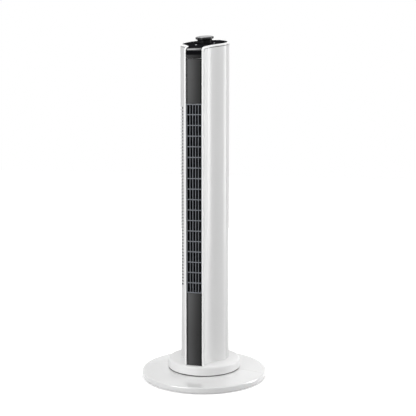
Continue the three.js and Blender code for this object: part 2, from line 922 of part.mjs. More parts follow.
const bushingOuter = shaftRadius + 6;

function upperBulkhead() {
  const plate = crossPlate(
    upperBulkheadBottom, upperBulkheadBottom, upperBulkheadTop + lugHeight,
  );
  const bore = rod(
    bushingOuter + seatGap, upperBulkheadBottom - 1, upperBulkheadTop + 1, 24, 0, rearCentre,
  );
  return cut(plate, bore, lugHole(coverScrewHeights[2]));
}

function topBushing() {
  const inner = shaftRadius + seatGap;
  const seat = upperBulkheadTop + seatGap;
  return turned(
    [
      [inner, upperBulkheadBottom - 1.5],
      [bushingOuter, upperBulkheadBottom - 1.5],
      [bushingOuter, seat],
      [bushingOuter + 3, seat],
      [bushingOuter + 3, seat + 2],
      [inner, seat + 2],
    ],
    16,
  );
}

// ---- Air path --------------------------------------------------------------------

const ductBottom = lowerBulkheadBottom + bulkheadThickness + seatGap;
const ductTop = upperBulkheadBottom - seatGap;

// A thin wall along a smooth path, between the two bulkheads.
function ductStrip(path, steps) {
  const curve = new THREE.SplineCurve(path.map(([x, y]) => new THREE.Vector2(x, y)));
  const points = curve.getPoints(steps);
  const side = (offset) =>
    points.map((p, i) => {
      const t = curve.getTangent(i / steps);
      return [p.x - t.y * offset, p.y + t.x * offset];
    });
  const outline = [...side(ductWall / 2), ...side(-ductWall / 2).reverse()];
  return prism(outline, ductBottom, ductTop);
}

const aroundImpeller = (clearance, degrees) => {
  const [x, y] = polar(impellerRadius + clearance, degrees);
  return [x, rearCentre + y];
};

// The scroll opens out round the impeller, along the column's closed right side.
const scrollWall = () =>
  ductStrip(
    [
      aroundImpeller(3, 22),
      aroundImpeller(3.6, 0),
      aroundImpeller(5, -22),
      aroundImpeller(8.5, -44),
      [ductMouth + 8, -48],
      [ductMouth + 1, -62],
      [ductMouth, innerFrontY + 1],
    ],
    14,
  );

// The left wing's inner face between the seam and the wing's end, moved inwards.
const insideLeftWing = (inset) =>
  wingPoints(columnWall + seatGap + inset)
    .filter(([, y]) => y > leftSeamY + seatGap && y < wingRearY - seatGap)
    .map(([x, y]) => [-x, y]);

// The tongue parts the inlet from the outlet. An arm joins its tip to a flange, which
// lies inside the rear shell behind the front ends of the slots.
function tongueWall() {
  const flangeLine = insideLeftWing(ductWall / 2);
  const blade = ductStrip(
    [
      flangeLine[Math.floor(flangeLine.length / 2)],
      aroundImpeller(9.5, 210),
      aroundImpeller(3.2, 217),
      [-ductMouth - 7, -38],
      [-ductMouth - 0.8, -58],
      [-ductMouth, innerFrontY + 1],
    ],
    14,
  );
  const outline = [...insideLeftWing(0), ...insideLeftWing(ductWall).reverse()];
  return join(blade, prism(outline, ductBottom, ductTop));
}

// ---- Impeller --------------------------------------------------------------------

// One blade's section: a thin curved slip that leans forward as it runs out.
function bladeSection(index) {
  const base = (360 * index) / impellerBlades;
  const inner = impellerRadius - impellerBladeDepth;
  const half = impellerBladeThickness / 2;
  const stations = [
    [inner, 0],
    [inner + impellerBladeDepth * 0.5, 2.2],
    [impellerRadius - 0.4, 7.5],
  ];
  const side = (sign) =>
    stations.map(([r, lean]) => {
      const width = THREE.MathUtils.radToDeg((sign * half) / r);
      return polar(r, base - lean + width);
    });
  return [...side(-1), ...side(1).reverse()];
}

function impeller() {
  const span = impellerTop - impellerBottom - impellerDisc;
  const discs = Array.from({ length: impellerDiscs }, (_, i) => {
    const z = impellerBottom + (span * i) / (impellerDiscs - 1);
    const end = i === 0 || i === impellerDiscs - 1;
    const inner = impellerRadius - impellerBladeDepth - 3;
    return end
      ? rod(impellerRadius, z, z + impellerDisc, 24)
      : tube(inner, impellerRadius, z, z + impellerDisc, 24);
  });
  const low = impellerBottom + impellerDisc / 2;
  const high = impellerTop - impellerDisc / 2;
  const blades = Array.from({ length: impellerBlades }, (_, i) =>
    prism(bladeSection(i), low, high),
  );
  const hub = shaftRadius + 5;
  const hubs = join(
    rod(hub, low, impellerBottom + impellerHubLength, 16),
    rod(hub, impellerTop - impellerHubLength, high, 16),
  );
  const bore = shaftRadius + seatGap;
  const deep = impellerHubLength - impellerHubFloor;
  return cut(
    join(...discs, ...blades, hubs),
    rod(bore, impellerBottom - 1, impellerBottom + deep, 16),
    rod(bore, impellerTop - deep, impellerTop + 1, 16),
  );
}

// ---- Fan motor -------------------------------------------------------------------

const motorMiddle = (motorBottom + motorTop) / 2;
const shaftHousing = shaftRadius + 0.6;

function motorUpperShell() {
  const inner = motorRadius - motorWall;
  const split = motorMiddle + statorHeight / 2 + seatGap;
  return turned(
    [
      [shaftHousing, motorTop - 8],
      [shaftHousing + 4, motorTop - 8],
      [shaftHousing + 4, motorTop - motorWall],
      [inner, motorTop - motorWall],
      [inner, split],
      [motorRadius, split],
      [motorRadius, motorTop - 3],
      [motorRadius - 3, motorTop],
      [shaftHousing, motorTop],
    ],
    20,
  );
}

function motorLowerShell() {
  const inner = motorRadius - motorWall;
  const split = motorMiddle - statorHeight / 2 - seatGap;
  const floor = motorBottom + motorWall;
  return turned(
    [
      [0, motorBottom],
      [motorRadius - 3, motorBottom],
      [motorRadius, motorBottom + 3],
      [motorRadius, split],
      [inner, split],
      [inner, floor],
      [shaftHousing + 4, floor],
      [shaftHousing + 4, floor + 6],
      [shaftHousing, floor + 6],
      [shaftHousing, floor + 1],
      [0, floor + 1],
    ],
    20,
  );
}

function statorCore() {
  const low = motorMiddle - statorHeight / 2;
  return tube(rotorRadius + 0.6, motorRadius, low, low + statorHeight, 20);
}

function motorRotor() {
  const low = motorMiddle - statorHeight / 2 - 1;
  return tube(shaftRadius + seatGap, rotorRadius, low, low + statorHeight + 2, 16);
}

const motorShaft = () =>
  rod(
    shaftRadius,
    motorBottom + motorWall + 1 + seatGap,
    impellerBottom + impellerHubLength - impellerHubFloor - seatGap,
    16,
  );

const impellerPin = () =>
  rod(
    shaftRadius,
    impellerTop - impellerHubLength + impellerHubFloor + seatGap,
    upperBulkheadTop + 4,
    16,
  );

function motorDamper() {
  const bottom = motorTop + seatGap;
  const top = lowerBulkheadBottom - seatGap;
  const middle = (bottom + top) / 2;
  return turned(
    [
      [0, bottom],
      [damperRadius, bottom],
      [damperRadius - 1.5, middle],
      [damperRadius, top],
      [0, top],
    ],
    10,
  );
}

// ---- Electrical ------------------------------------------------------------------

// A box of [width, depth, height] that stands off a face and up from a height.
function standing([width, depth, height], x, face, bottom) {
  return block(x - width / 2, x + width / 2, face, face + depth, bottom, bottom + height);
}

function runCapacitor() {
  const bottom = floorPlateTop + capacitorRise;
  const inset = (capacitorSize[1] - capacitorTerminals[1]) / 2;
  return join(
    standing(capacitorSize, 0, innerFrontY, bottom),
    standing(capacitorTerminals, 0, innerFrontY + inset, bottom + capacitorSize[2]),
  );
}

// A board on the upper back plate. Its transformer and relay stand behind it, each
// sunk a little into it, and its lamp looks out through the plate's window.
function controlBoard() {
  const top = trimBottom - boardDrop;
  const bottom = top - boardHeight;
  const behindBoard = innerFrontY + boardThickness - 0.2;
  return join(
    standing([2 * boardHalfWidth, boardThickness, boardHeight], 0, innerFrontY, bottom),
    standing(transformerSize, 0, behindBoard, bottom + boardHeight / 9),
    standing(relaySize, -3, behindBoard, bottom + boardHeight * 0.45),
    block(-8, 8, innerFrontY - 0.9, innerFrontY + 0.2, top - lampHeight, top),
  );
}

// ---- Control panel and knob ------------------------------------------------------

// The knob's own frame: origin on the panel's face, Z square to the sloped top.
const knobFrame = new THREE.Matrix4()
  .makeTranslation(0, knobY, topHeight(knobY, panelRecess))
  .multiply(new THREE.Matrix4().makeRotationX(slope));

function topPanel() {
  const inset = lipWidth + seatGap;
  const main = columnPrism(inset, 0, above);
  const tongue = block(-bandFitHalf, bandFitHalf, bandBackY + seatGap, -noseFront + 20, 0, above);
  const slab = cut(
    join(main, tongue).intersect(underTop(panelRecess)),
    underTop(panelRecess + panelThickness),
  );
  const hole = rod(switchNeck + seatGap, -panelThickness - 2, 2, 20);
  return cut(slab, placed(hole, knobFrame));
}

const knobHubBottom = 4.5;
const knobRoof = knobHeight - 1 - 2.7; // underside of the knob's top wall
const capSeat = knobHeight - 1;
const capRadius = knobRadius - 3.5;

function controlKnob() {
  const bore = knobShaftRadius + seatGap;
  return turned(
    [
      [0, knobRoof - 0.5],
      [bore, knobRoof - 0.5],
      [bore, knobHubBottom],
      [bore + 3.2, knobHubBottom],
      [bore + 3.2, knobRoof],
      [knobWaist - knobWall, knobRoof],
      [knobWaist - knobWall, 1],
      [knobWaist, 1],
      [knobWaist, 8.5],
      [knobRadius, 11],
      [knobRadius, knobHeight - 1.5],
      [capRadius + seatGap, knobHeight],
      [capRadius + seatGap, capSeat],
      [0, capSeat],
    ],
    24,
  );
}

function knobCap() {
  const bottom = capSeat + seatGap;
  return turned(
    [
      [0, bottom],
      [capRadius, bottom],
      [capRadius, bottom + 0.7],
      [capRadius - 0.8, bottom + 1.2],
      [0, bottom + 1.5],
    ],
    24,
  );
}

const switchFloor = 4;
const switchBottom = -panelThickness - seatGap - switchDepth;

const knobShaft = () =>
  rod(knobShaftRadius, switchBottom + switchFloor + seatGap, knobRoof - 0.5 - seatGap, 16);

function rotarySwitch() {
  const half = switchSide / 2;
  const top = -panelThickness - seatGap;
  const body = block(-half, half, -half, half, switchBottom, top);
  const neck = rod(switchNeck, top - 1, 3.6, 20);
  return cut(
    join(body, neck),
    rod(knobShaftRadius + seatGap, switchBottom + switchFloor, 5, 16),
  );
}

const switchNut = () =>
  prism(
    Array.from({ length: 6 }, (_, i) => polar(switchNeck + 3.3, 60 * i)),
    seatGap,
    seatGap + 2.5,
  ).subtract(rod(switchNeck + seatGap, -1, 5, 20));

// ---- Assembly --------------------------------------------------------------------

function baseGroup() {
  const feet = ["front", "rear"].flatMap(footAngles).map((a, i) => {
    const [x, y] = polar(footCircle, a);
    return groupAt(x, y, 0, meshOf(`base_foot_${i + 1}`, baseFoot(), "rubber"));
  });
  const clampScrews = ["front", "rear"].flatMap(clampAngles).map((a, i) => {
    const [x, y] = polar(clampScrewCircle, a);
    const screw = meshOf(`base_screw_${i + 1}`, screwUp(clampScrewLength), "zinc");
    return groupAt(x, y, flangeBottom - seatGap, screw);
  });
  return groupAt(
    0, 0, 0,
    meshOf("base_front_half", baseHalf("front"), "whiteGloss"),
    meshOf("base_rear_half", baseHalf("rear"), "whiteGloss"),
    meshOf("pivot_housing", pivotHousing(), "greyPlastic"),
    meshOf(
      "slide_ring",
      tube(slideRingInner, slideRingOuter, slideRingBottom, slideRingTop, 20),
      "acetal",
    ),
    meshOf("cord_bushing", cordBushing(), "rubber"),
    groupAt(0, swingMotorOffset, 0, meshOf("swing_motor", swingMotor(), "steel")),
    ...feet,
    ...clampScrews,
  );
}

function swingPinionGroup() {
  const shaft = rod(swingShaftRadius, swingShaftBottom, pinionBottom + pinionHeight, 16);
  return groupAt(
    0, swingMotorOffset, 0,
    meshOf("swing_pinion", swingPinion(), "acetal"),
    meshOf("swing_motor_shaft", shaft, "steel"),
  );
}

function turntableGroup() {
  const screws = mountScrews.map(([x, y], i) => {
    const screw = meshOf(`turntable_screw_${i + 1}`, screwUp(mountScrewLength), "zinc");
    return groupAt(x, y, turntableUnderside - seatGap, screw);
  });
  return groupAt(
    0, 0, 0,
    meshOf("turntable", turntable(), "whiteGloss"),
    meshOf("swing_gear_sector", swingGearSector(), "acetal"),
    meshOf("pivot_nut", pivotNut(), "acetal"),
    ...screws,
  );
}

function bandGroup() {
  const topOfTrim = topHeight(bandEdgeY, panelRecess);
  return groupAt(
    0, 0, 0,
    meshOf(
      "lower_front_panel",
      bandStrip(columnBottom, outletBottom - seatGap),
      "smokeGloss",
    ),
    meshOf("outlet_grille", outletGrille(), "grilleBlack"),
    meshOf(
      "upper_front_panel",
      bandStrip(outletTop + seatGap, windowBottom - seamGap),
      "smokeGloss",
    ),
    meshOf(
      "display_window",
      bandStrip(windowBottom + seatGap, trimBottom - seatGap),
      "blackGloss",
    ),
    meshOf("trim_strip", bandStrip(trimBottom, topOfTrim), "satinSilver"),
  );
}

function coverScrews() {
  return coverScrewHeights.map((z, i) => {
    const screw = fromRear(screwUp(columnWall + 6), z);
    return groupAt(0, seatGap, 0, meshOf(`cover_screw_${i + 1}`, screw, "zinc"));
  });
}

function motorGroup() {
  const dampers = [90, 210, 330].map((a, i) => {
    const [x, y] = polar(damperCircle, a);
    return groupAt(x, y, 0, meshOf(`motor_damper_${i + 1}`, motorDamper(), "rubber"));
  });
  return groupAt(
    0, rearCentre, 0,
    meshOf("motor_upper_shell", motorUpperShell(), "zinc"),
    meshOf("motor_lower_shell", motorLowerShell(), "zinc"),
    meshOf("motor_stator", statorCore(), "lamination"),
    ...dampers,
  );
}

const impellerGroup = () =>
  groupAt(
    0, rearCentre, 0,
    meshOf("impeller", impeller(), "darkPlastic"),
    meshOf("impeller_pin", impellerPin(), "steel"),
    meshOf("motor_shaft", motorShaft(), "steel"),
    meshOf("motor_rotor", motorRotor(), "lamination"),
  );

function knobGroup() {
  const group = groupAt(
    0, knobY, topHeight(knobY, panelRecess),
    meshOf("control_knob", controlKnob(), "blackGloss"),
    meshOf("knob_cap", knobCap(), "satinSilver"),
    meshOf("knob_shaft", knobShaft(), "steel"),
    meshOf("rotary_switch", rotarySwitch(), "darkPlastic"),
    meshOf("switch_nut", switchNut(), "zinc"),
  );
  group.rotation.x = slope;
  return group;
}

function columnGroup() {
  return groupAt(
    0, 0, 0,
    meshOf("front_housing", frontHousing(), "whiteGloss"),
    meshOf("rear_shell", rearShell(), "whiteGloss"),
    meshOf("floor_plate", floorPlate(), "greyPlastic"),
    meshOf("lower_bulkhead", lowerBulkhead(), "greyPlastic"),
    meshOf("upper_bulkhead", upperBulkhead(), "greyPlastic"),
    meshOf("scroll_wall", scrollWall(), "darkPlastic"),
    meshOf("tongue_wall", tongueWall(), "darkPlastic"),
    groupAt(0, rearCentre, 0, meshOf("top_bushing", topBushing(), "rubber")),
    meshOf("run_capacitor", runCapacitor(), "acetal"),
    meshOf("control_board", controlBoard(), "boardGreen"),
    meshOf("top_panel", topPanel(), "blackGloss"),
    ...coverScrews(),
    bandGroup(),
    motorGroup(),
    impellerGroup(),
    knobGroup(),
  );
}

const fan = new THREE.Group();
fan.add(baseGroup(), swingPinionGroup(), turntableGroup(), columnGroup());

export default fan;
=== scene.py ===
"""Looks of a tower fan: smooth mouldings, finishes and a studio round its solid frame."""

import math
from functools import cache

import bmesh
import bpy
from bpy.props import FloatProperty, FloatVectorProperty, IntProperty, PointerProperty
from mathutils import Matrix, Vector


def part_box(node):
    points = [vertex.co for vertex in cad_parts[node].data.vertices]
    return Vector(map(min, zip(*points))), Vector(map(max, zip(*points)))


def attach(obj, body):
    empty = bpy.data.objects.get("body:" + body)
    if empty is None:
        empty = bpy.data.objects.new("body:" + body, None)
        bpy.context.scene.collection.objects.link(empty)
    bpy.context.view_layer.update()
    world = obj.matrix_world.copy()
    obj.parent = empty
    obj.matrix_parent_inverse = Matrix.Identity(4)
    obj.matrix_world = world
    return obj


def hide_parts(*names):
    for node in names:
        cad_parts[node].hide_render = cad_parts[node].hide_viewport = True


bl_info = {
    "name": "Tower Fan Looks",
    "version": (1, 0, 0),
    "blender": (4, 5, 0),
    "location": "3D View > Sidebar > Fan",
    "description": "Dresses the solid frame of a tower fan with mouldings and finishes",
    "category": "Object",
}

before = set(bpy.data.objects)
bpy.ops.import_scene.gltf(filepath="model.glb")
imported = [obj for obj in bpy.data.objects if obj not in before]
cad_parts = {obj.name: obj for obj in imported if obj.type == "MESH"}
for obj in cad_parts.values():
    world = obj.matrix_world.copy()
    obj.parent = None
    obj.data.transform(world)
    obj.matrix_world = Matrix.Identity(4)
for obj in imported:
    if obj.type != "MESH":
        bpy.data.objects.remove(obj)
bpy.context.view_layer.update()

MM = 0.001
WELD = 0.002 * MM  # points closer than this are merged
SMOOTH_ANGLE = 32.0  # edges sharper than this, in degrees, stay sharp

# ---- Fixed sizes of the frame, in millimetres ----

SEAT_GAP = 0.3
SEAM_GAP = 0.4
COLUMN_BOTTOM = 48.3
NOSE_HALF = 25.0
NOSE_FRONT = 86.0
NOSE_SIDE_END = -71.0  # where the wing's curve leaves the nose's straight side
WING_PULLS = (29.0, 17.5)
REAR_RADIUS = 61.8
REAR_CENTRE = 8.0
SEAM_Y = -6.0  # the right-hand seam, where the wing joins the rear round
LEFT_SEAM_Y = -30.0
SLOTS_LEFT_Y = -27.0
SLOTS_RIGHT_Y = 34.0
SPINE_HALF = 16.5
WALL = 2.5
TOP_FRONT = 837.0
SLOPE = math.radians(11.3)
CORNER_RADIUS = 10.0
RIM_DEPTH = 7.0
LIP_DEPTH = 7.8
LIP_WIDTH = 4.8
GROOVE_DEPTH = 2.0
LIP_RINGS = (COLUMN_BOTTOM + 260, COLUMN_BOTTOM + 520)  # rings part of the way up
BAND_HALF = 19.9
BAND_EDGE_Y = -83.0
BAND_BACK_Y = -80.5
BACKING = (-80.2, -78.2)  # front and back of the plates behind the band
BACKING_HALF = BAND_HALF + 1.3
BACKING_TOP = 829.0
OUTLET = (233.0, 702.0)
GRILLE = (OUTLET[0] + SEAT_GAP, OUTLET[1] - SEAT_GAP)
BAR_DEPTH = 2.5
RIB_DEPTH = 8.0
FRAME_SIDE = 2.0  # widths of the grille's frame at its sides and ends
FRAME_END = 2.2
STRIP_EDGE = 0.35  # how far the strips' and the trim's edges roll back
TRIM_EDGE = 1.4
WINDOW_BOTTOM = 811.6
TRIM_BOTTOM = 829.3
SLOTS_BOTTOM = 239.0
SLOT_PITCH = 8.2
SLOT_HEIGHT = 4.2
PANEL_RECESS = 1.2
PANEL_LEVELS = ((3.0, 0), (0.5, 0), (0.12, 0.14), (0, 0.5))  # drop, and edge's pull
KNOB_Y = 8.0
IMPELLER_RADIUS = 42.0
IMPELLER_DISC = 2.2
IMPELLER_HUB = (4.3, 9.0)  # radii of the bore and the boss
BLADE_THICKNESS = 0.9
BLADE_LINE = ((9.0, 0.0), (5.4, 1.2), (2.25, 4.2), (0.3, 7.5))  # depth, lean in degrees
BASE_RADIUS = 160.0
BASE_HOLE = 74.0
BASE_WALL = 2.7
BASE_CROWN = ((120, 21.1), (98, 22.7), (84, 23))  # radii and heights, like the rib's
BASE_RIB = (
    (95, 6), (154, 6), (154, 13.6), (148, 16.4), (120, 19.4), (98, 21.2), (95, 21.3),
)
PARTING_EDGE = (0.6, 0.45)  # width and depth of the chamfer between the halves
TURNTABLE_RADIUS = 92.6
TURNTABLE_TOP = 48.0
FOOT_CIRCLE = 143.0
WING_END = math.asin((SEAM_Y - REAR_CENTRE) / REAR_RADIUS)
INWARD = Vector((-1, 0))  # the inward direction on the nose's right side

# How finely curves are drawn
NOSE_STEPS = 5
WING_STEPS = 26
CORNER_STEPS = 10
BACK_STEPS = 240
BACK_SPACING = 4.5  # at most this far between points round the back
SLOT_END_STEPS = (0.0, 0.22, 0.75, 1.4, SLOT_HEIGHT / 2)
STRIP_STEPS = 18
BAR_STEPS = 20
PANEL_STEPS = (18, 30)  # along a wing and round the back
WING_SHARE = 0.004  # share of the wing's curve between its fine points
SEAM_SHARE = 0.0005  # the same, in the search for a seam
BAND_SMOOTH = 50.0  # the angle up to which the band's bowed strips are smooth

# Where the finishes change, in millimetres
COLLAR_PAINTED_SHADOW = (90.5, 92.2)  # radii over which the base's painted shadow under the turntable fades out
# Painted reflection on the smoked panels and the window's lower part: lighter at the
# left, fading over this span of X
PAINTED_REFLECTION_X = (-19, 16)
SMOKE_PAINTED_SHADES = (  # painted shade along the panel's sides and top edge: axis, start and end of each fade, and the share of smoke it ends in
    ("X", 14.5, 17.5, 0.1),
    ("X", -15.5, -18, 0.45),
    ("Z", 809.6, 810.8, 0.08),
)
WINDOW_FADE = (821.5, 819)
# Heights over which the trim's painted shade darkens it downwards
TRIM_PAINTED_SHADE = (834.4, 831.2)
# Depth behind the band's front over which the grille's painted shade sets in
GRILLE_PAINTED_SHADE_DEPTH = 3.5
MARK_SIZE = (2.2, 5.0)  # half the width and length of a mark
PANEL_MARKS = ((-14.4, KNOB_Y - 29.7), (25.5, KNOB_Y - 2.9))

# Camera, floor and lamps, in metres and radians, and the floor in millimetres
CAMERA_AZIMUTH = math.radians(16.9)
CAMERA_DISTANCE = 2.16875
CAMERA_HEIGHT = 0.7004
CAMERA_PITCH = math.radians(6.078)
CAMERA_YAW = math.radians(-0.267)
CAMERA_SHIFT = -0.03
FLOOR_HALF = 6000
FLOOR_GLOW = (250, 1100)  # from the fan's own shadow out to plain white
MIDDLE = (0, 0, 0.45)
LAMPS = {  # width and height, place, aim, and the rays that pass it by
    "key": ((1.3, 1.9), (-1.0, -1.97, 0.85), MIDDLE),
    "side": ((0.8, 1.9), (2.05, 0.9, 0.75), MIDDLE),
    "overhead": ((1.6, 1.6), (0, -0.3, 2.6), (0, 0, 0), ("glossy",)),
    "fill": ((1.2, 1.6), (-0.3, 2.5, 0.9), MIDDLE, ("camera", "glossy")),
}


def top_height(y, drop=0.0):
    """Height of the sloped top at a depth y."""
    return TOP_FRONT + (y + NOSE_FRONT) * math.tan(SLOPE) - drop


KNOB_FRAME = Matrix.Translation(
    Vector((0, KNOB_Y, top_height(KNOB_Y, PANEL_RECESS))) * MM
) @ Matrix.Rotation(SLOPE, 4, "X")


# ---- Settings ----


def length_setting(name, description, default):
    """A length in metres, given here in millimetres."""
    return FloatProperty(
        name=name, description=description, default=default * MM, min=0, unit="LENGTH"
    )


def colour_setting(name, description, default):
    return FloatVectorProperty(
        name=name, description=description, default=default, subtype="COLOR", min=0, max=1
    )


class FanSizes(bpy.types.PropertyGroup):
    """Sizes of the visible details."""

    lip_edge: length_setting("Lip edge", "Rounding of the lips' and rim's edges", 2.2)
    bead: length_setting("Bead", "Height of the bead along the lips and rim", 4.4)
    groove: length_setting("Groove", "Width of the groove behind the bead", 1.5)
    slot_edge: length_setting("Slot edge", "Chamfer round each intake slot", 0.5)
    slots: IntProperty(name="Slots", description="Intake slots a side", default=56)
    bars: IntProperty(name="Bars", description="Level bars of the outlet", default=17)
    ribs: IntProperty(name="Ribs", description="Upright ribs of the outlet", default=4)
    blades: IntProperty(name="Blades", description="Impeller blades", default=32)
    bar_height: length_setting("Bar height", "Height of an outlet bar", 2.3)
    rib_pitch: length_setting("Rib pitch", "Distance between upright ribs", 7.15)
    rib_width: length_setting("Rib width", "Width of an upright rib", 2.2)
    bulge: length_setting("Band bulge", "How far the front band bows out", 1.3)
    turntable_edge: length_setting("Turntable edge", "Rounding of its top edge", 6.0)
    knob_radius: length_setting("Knob radius", "Radius of the knob's flange", 23.2)
    knob_waist: length_setting("Knob waist", "Radius of the knob's waist", 18.6)
    knob_height: length_setting("Knob height", "Height over the panel", 16.2)


class FanColours(bpy.types.PropertyGroup):
    """Colours of the finishes."""

    white: colour_setting("White", "The column's and base's plastic", (0.81, 0.81, 0.808))
    smoke: colour_setting("Smoke", "The front panels", (0.088, 0.088, 0.089))
    window: colour_setting("Window", "The black window field", (0.006, 0.006, 0.007))
    black: colour_setting("Black", "The top panel and knob", (0.008, 0.008, 0.009))
    silver: colour_setting("Silver", "The trim and knob cap", (0.62, 0.62, 0.63))
    grille: colour_setting("Grille", "The outlet's bars and ribs", (0.19, 0.2, 0.22))


class FanStudio(bpy.types.PropertyGroup):
    """Light and camera."""

    key: FloatProperty(name="Key", description="Power of the left lamp", default=37.0)
    side: FloatProperty(name="Side", description="Power of the right lamp", default=44.0)
    overhead: FloatProperty(name="Overhead", description="Power from above", default=34.0)
    fill: FloatProperty(name="Fill", description="Power from behind", default=20.0)
    sky: FloatProperty(name="Sky", description="Plain light all round", default=0.08)
    lens: FloatProperty(name="Lens", description="Focal length, mm", default=73.84)


def sizes():
    return bpy.context.scene.fan_sizes


def colours():
    return bpy.context.scene.fan_colours


def studio():
    return bpy.context.scene.fan_studio


# ---- Finishes ----


def add_node(tree, kind, settings=None, inputs=None, output=0):
    """Adds a node with its settings and its inputs' values or links."""
    node = tree.nodes.new(kind)
    for key, value in (settings or {}).items():
        setattr(node, key, value)
    for key, value in (inputs or {}).items():
        feed(tree, node.inputs[key], value)
    return node.outputs[output]


def feed(tree, socket, value):
    """Links a socket to another, or sets its value. A colour comes without its alpha."""
    value = getattr(value, "socket", value)
    if isinstance(value, bpy.types.NodeSocket):
        tree.links.new(value, socket)
    elif socket.type == "RGBA":
        socket.default_value = (*value, 1)
    else:
        socket.default_value = value


class Signal:
    """A socket in a finish's node tree that can be used in plain arithmetic."""

    def __init__(self, finish, socket):
        self.finish = finish
        self.socket = socket

    def _math(self, operation, other):
        inputs = {0: self, 1: other}
        return self.finish.node("ShaderNodeMath", {"operation": operation}, inputs)

    def __add__(self, other):
        return self._math("ADD", other)

    def __mul__(self, other):
        return self._math("MULTIPLY", other)

    def __lt__(self, other):
        return self._math("LESS_THAN", other)

    __radd__, __rmul__ = __add__, __mul__


class Finish:
    """A node material. Plain numbers are set on the shader's own sockets."""

    def __init__(self, name, **plain):
        self.material = bpy.data.materials.new(name)
        self.material.use_nodes = True
        self.tree = self.material.node_tree
        self.tree.nodes.clear()
        self.shader = self.tree.nodes.new("ShaderNodeBsdfPrincipled")
        output = self.tree.nodes.new("ShaderNodeOutputMaterial")
        self.tree.links.new(self.shader.outputs[0], output.inputs[0])
        for key, value in plain.items():
            self.put(key.replace("_", " ").title(), value)
        self.place = self.node("ShaderNodeTexCoord", {}, {}, "Object")

    def node(self, *details):
        return Signal(self, add_node(self.tree, *details))

    def put(self, name, value):
        """Feeds one of the shader's sockets."""
        feed(self.tree, self.shader.inputs[name.replace("Ior", "IOR")], value)

    def made(self, colour, roughness):
        """The material, once its colour and roughness are in place."""
        self.put("Base Color", colour)
        self.put("Roughness", roughness)
        return self.material

    def noise(self, scale, detail=2.0):
        """Soft noise from 0 to 1 on the piece's own place."""
        inputs = {"Vector": self.place, "Scale": scale, "Detail": detail}
        return self.node("ShaderNodeTexNoise", {}, inputs, "Fac")

    def blend(self, share, first, second):
        """Mixes two colours."""
        inputs = {0: share, 6: first, 7: second}
        return self.node("ShaderNodeMix", {"data_type": "RGBA"}, inputs, 2)

    def mottled(self, scale, colour, low, high):
        """A colour whose brightness wanders between two factors."""
        return self.blend(self.noise(scale), shaded(colour, low), shaded(colour, high))

    def mapped(self, place, **inputs):
        """A place that is moved, turned or scaled."""
        return self.node("ShaderNodeMapping", {}, {"Vector": place, **inputs})

    def length(self, place):
        """How far a place is from the origin."""
        settings = {"operation": "LENGTH"}
        return self.node("ShaderNodeVectorMath", settings, {0: place}, "Value")

    def ramp(self, value, start, end, kind="SMOOTHSTEP"):
        """0 before start and 1 after end, in millimetres."""
        inputs = {"Value": value, "From Min": start * MM, "From Max": end * MM}
        return self.node("ShaderNodeMapRange", {"interpolation_type": kind}, inputs)

    def fade(self, axis, start, end):
        """A ramp along an axis."""
        along = self.node("ShaderNodeSeparateXYZ", {}, {0: self.place}, axis)
        return self.ramp(along, start, end)

    def bump(self, height, depth):
        """Raises the surface by height times depth, in millimetres."""
        inputs = {"Height": height, "Distance": depth * MM, "Strength": 1.0}
        self.put("Normal", self.node("ShaderNodeBump", {}, inputs))


def shaded(colour, factor):
    return tuple(c * factor for c in colour)


def white_moulding(name, shade):
    """Glossy white plastic, made lighter or darker by shade: the rims' lighter copy is a
    painted highlight, the groove's dark copy painted shade.
    """
    f = Finish(name, coat_weight=0.2, coat_roughness=0.12, ior=1.42)
    body = f.mottled(4, shaded(colours().white, shade), 0.99, 1.01)
    return f.made(body, 0.4 + 0.04 * f.noise(40))


def base_gloss():
    """The base's polished white, with a painted shadow where it runs in under the
    turntable.
    """
    white = colours().white
    f = Finish("base_gloss", coat_weight=1.0, coat_roughness=0.12, coat_ior=2.0)
    radius = f.length(f.mapped(f.place, Scale=(1, 1, 0)))
    # Painted shadow: the base turns near black under the turntable's rim, so the gap
    # below it reads dark.
    clear = f.ramp(radius, *COLLAR_PAINTED_SHADOW, "LINEAR")
    body = f.blend(clear, shaded(white, 0.08), f.mottled(4, white, 0.89, 0.91))
    return f.made(body, 0.35 + 0.04 * f.noise(40))


def smoke_panel():
    """Smoked gloss with a painted reflection, lighter at the left and fading towards the
    right.
    """
    smoke = colours().smoke
    f = Finish("smoke_panel", specular_ior_level=0.05)
    # Painted reflection: the smoke is lighter at the left and fades towards the right.
    body = f.blend(f.fade("X", *PAINTED_REFLECTION_X), shaded(smoke, 1.1), shaded(smoke, 0.36))
    # Painted shade along both sides, by the lips, and along the upper panel's top edge.
    for axis, start, end, shade in SMOKE_PAINTED_SHADES:
        body = f.blend(f.fade(axis, start, end), body, shaded(smoke, shade))
    body = f.blend(0.05 * f.noise(14), body, shaded(smoke, 1.4))
    return f.made(body, 0.26 + 0.04 * f.noise(60))


def window_gloss():
    """The window's clear front: black above, and smoked below with a painted reflection,
    lighter at the left.
    """
    window, smoke = colours().window, colours().smoke
    f = Finish("window_gloss", specular_ior_level=0.0)
    # Painted reflection on the smoked lower part: lighter at the left.
    below = f.blend(f.fade("X", *PAINTED_REFLECTION_X), shaded(smoke, 0.7), shaded(smoke, 0.3))
    body = f.blend(f.fade("Z", *WINDOW_FADE), window, below)
    body = f.blend(0.04 * f.noise(30), body, shaded(window, 3))
    return f.made(body, 0.14 + 0.04 * f.noise(60))


def black_gloss():
    """Piano-black plastic of the knob."""
    f = Finish("black_gloss", specular_ior_level=0.25)
    return f.made(f.mottled(40, colours().black, 1, 1.6), 0.2 + 0.04 * f.noise(80))


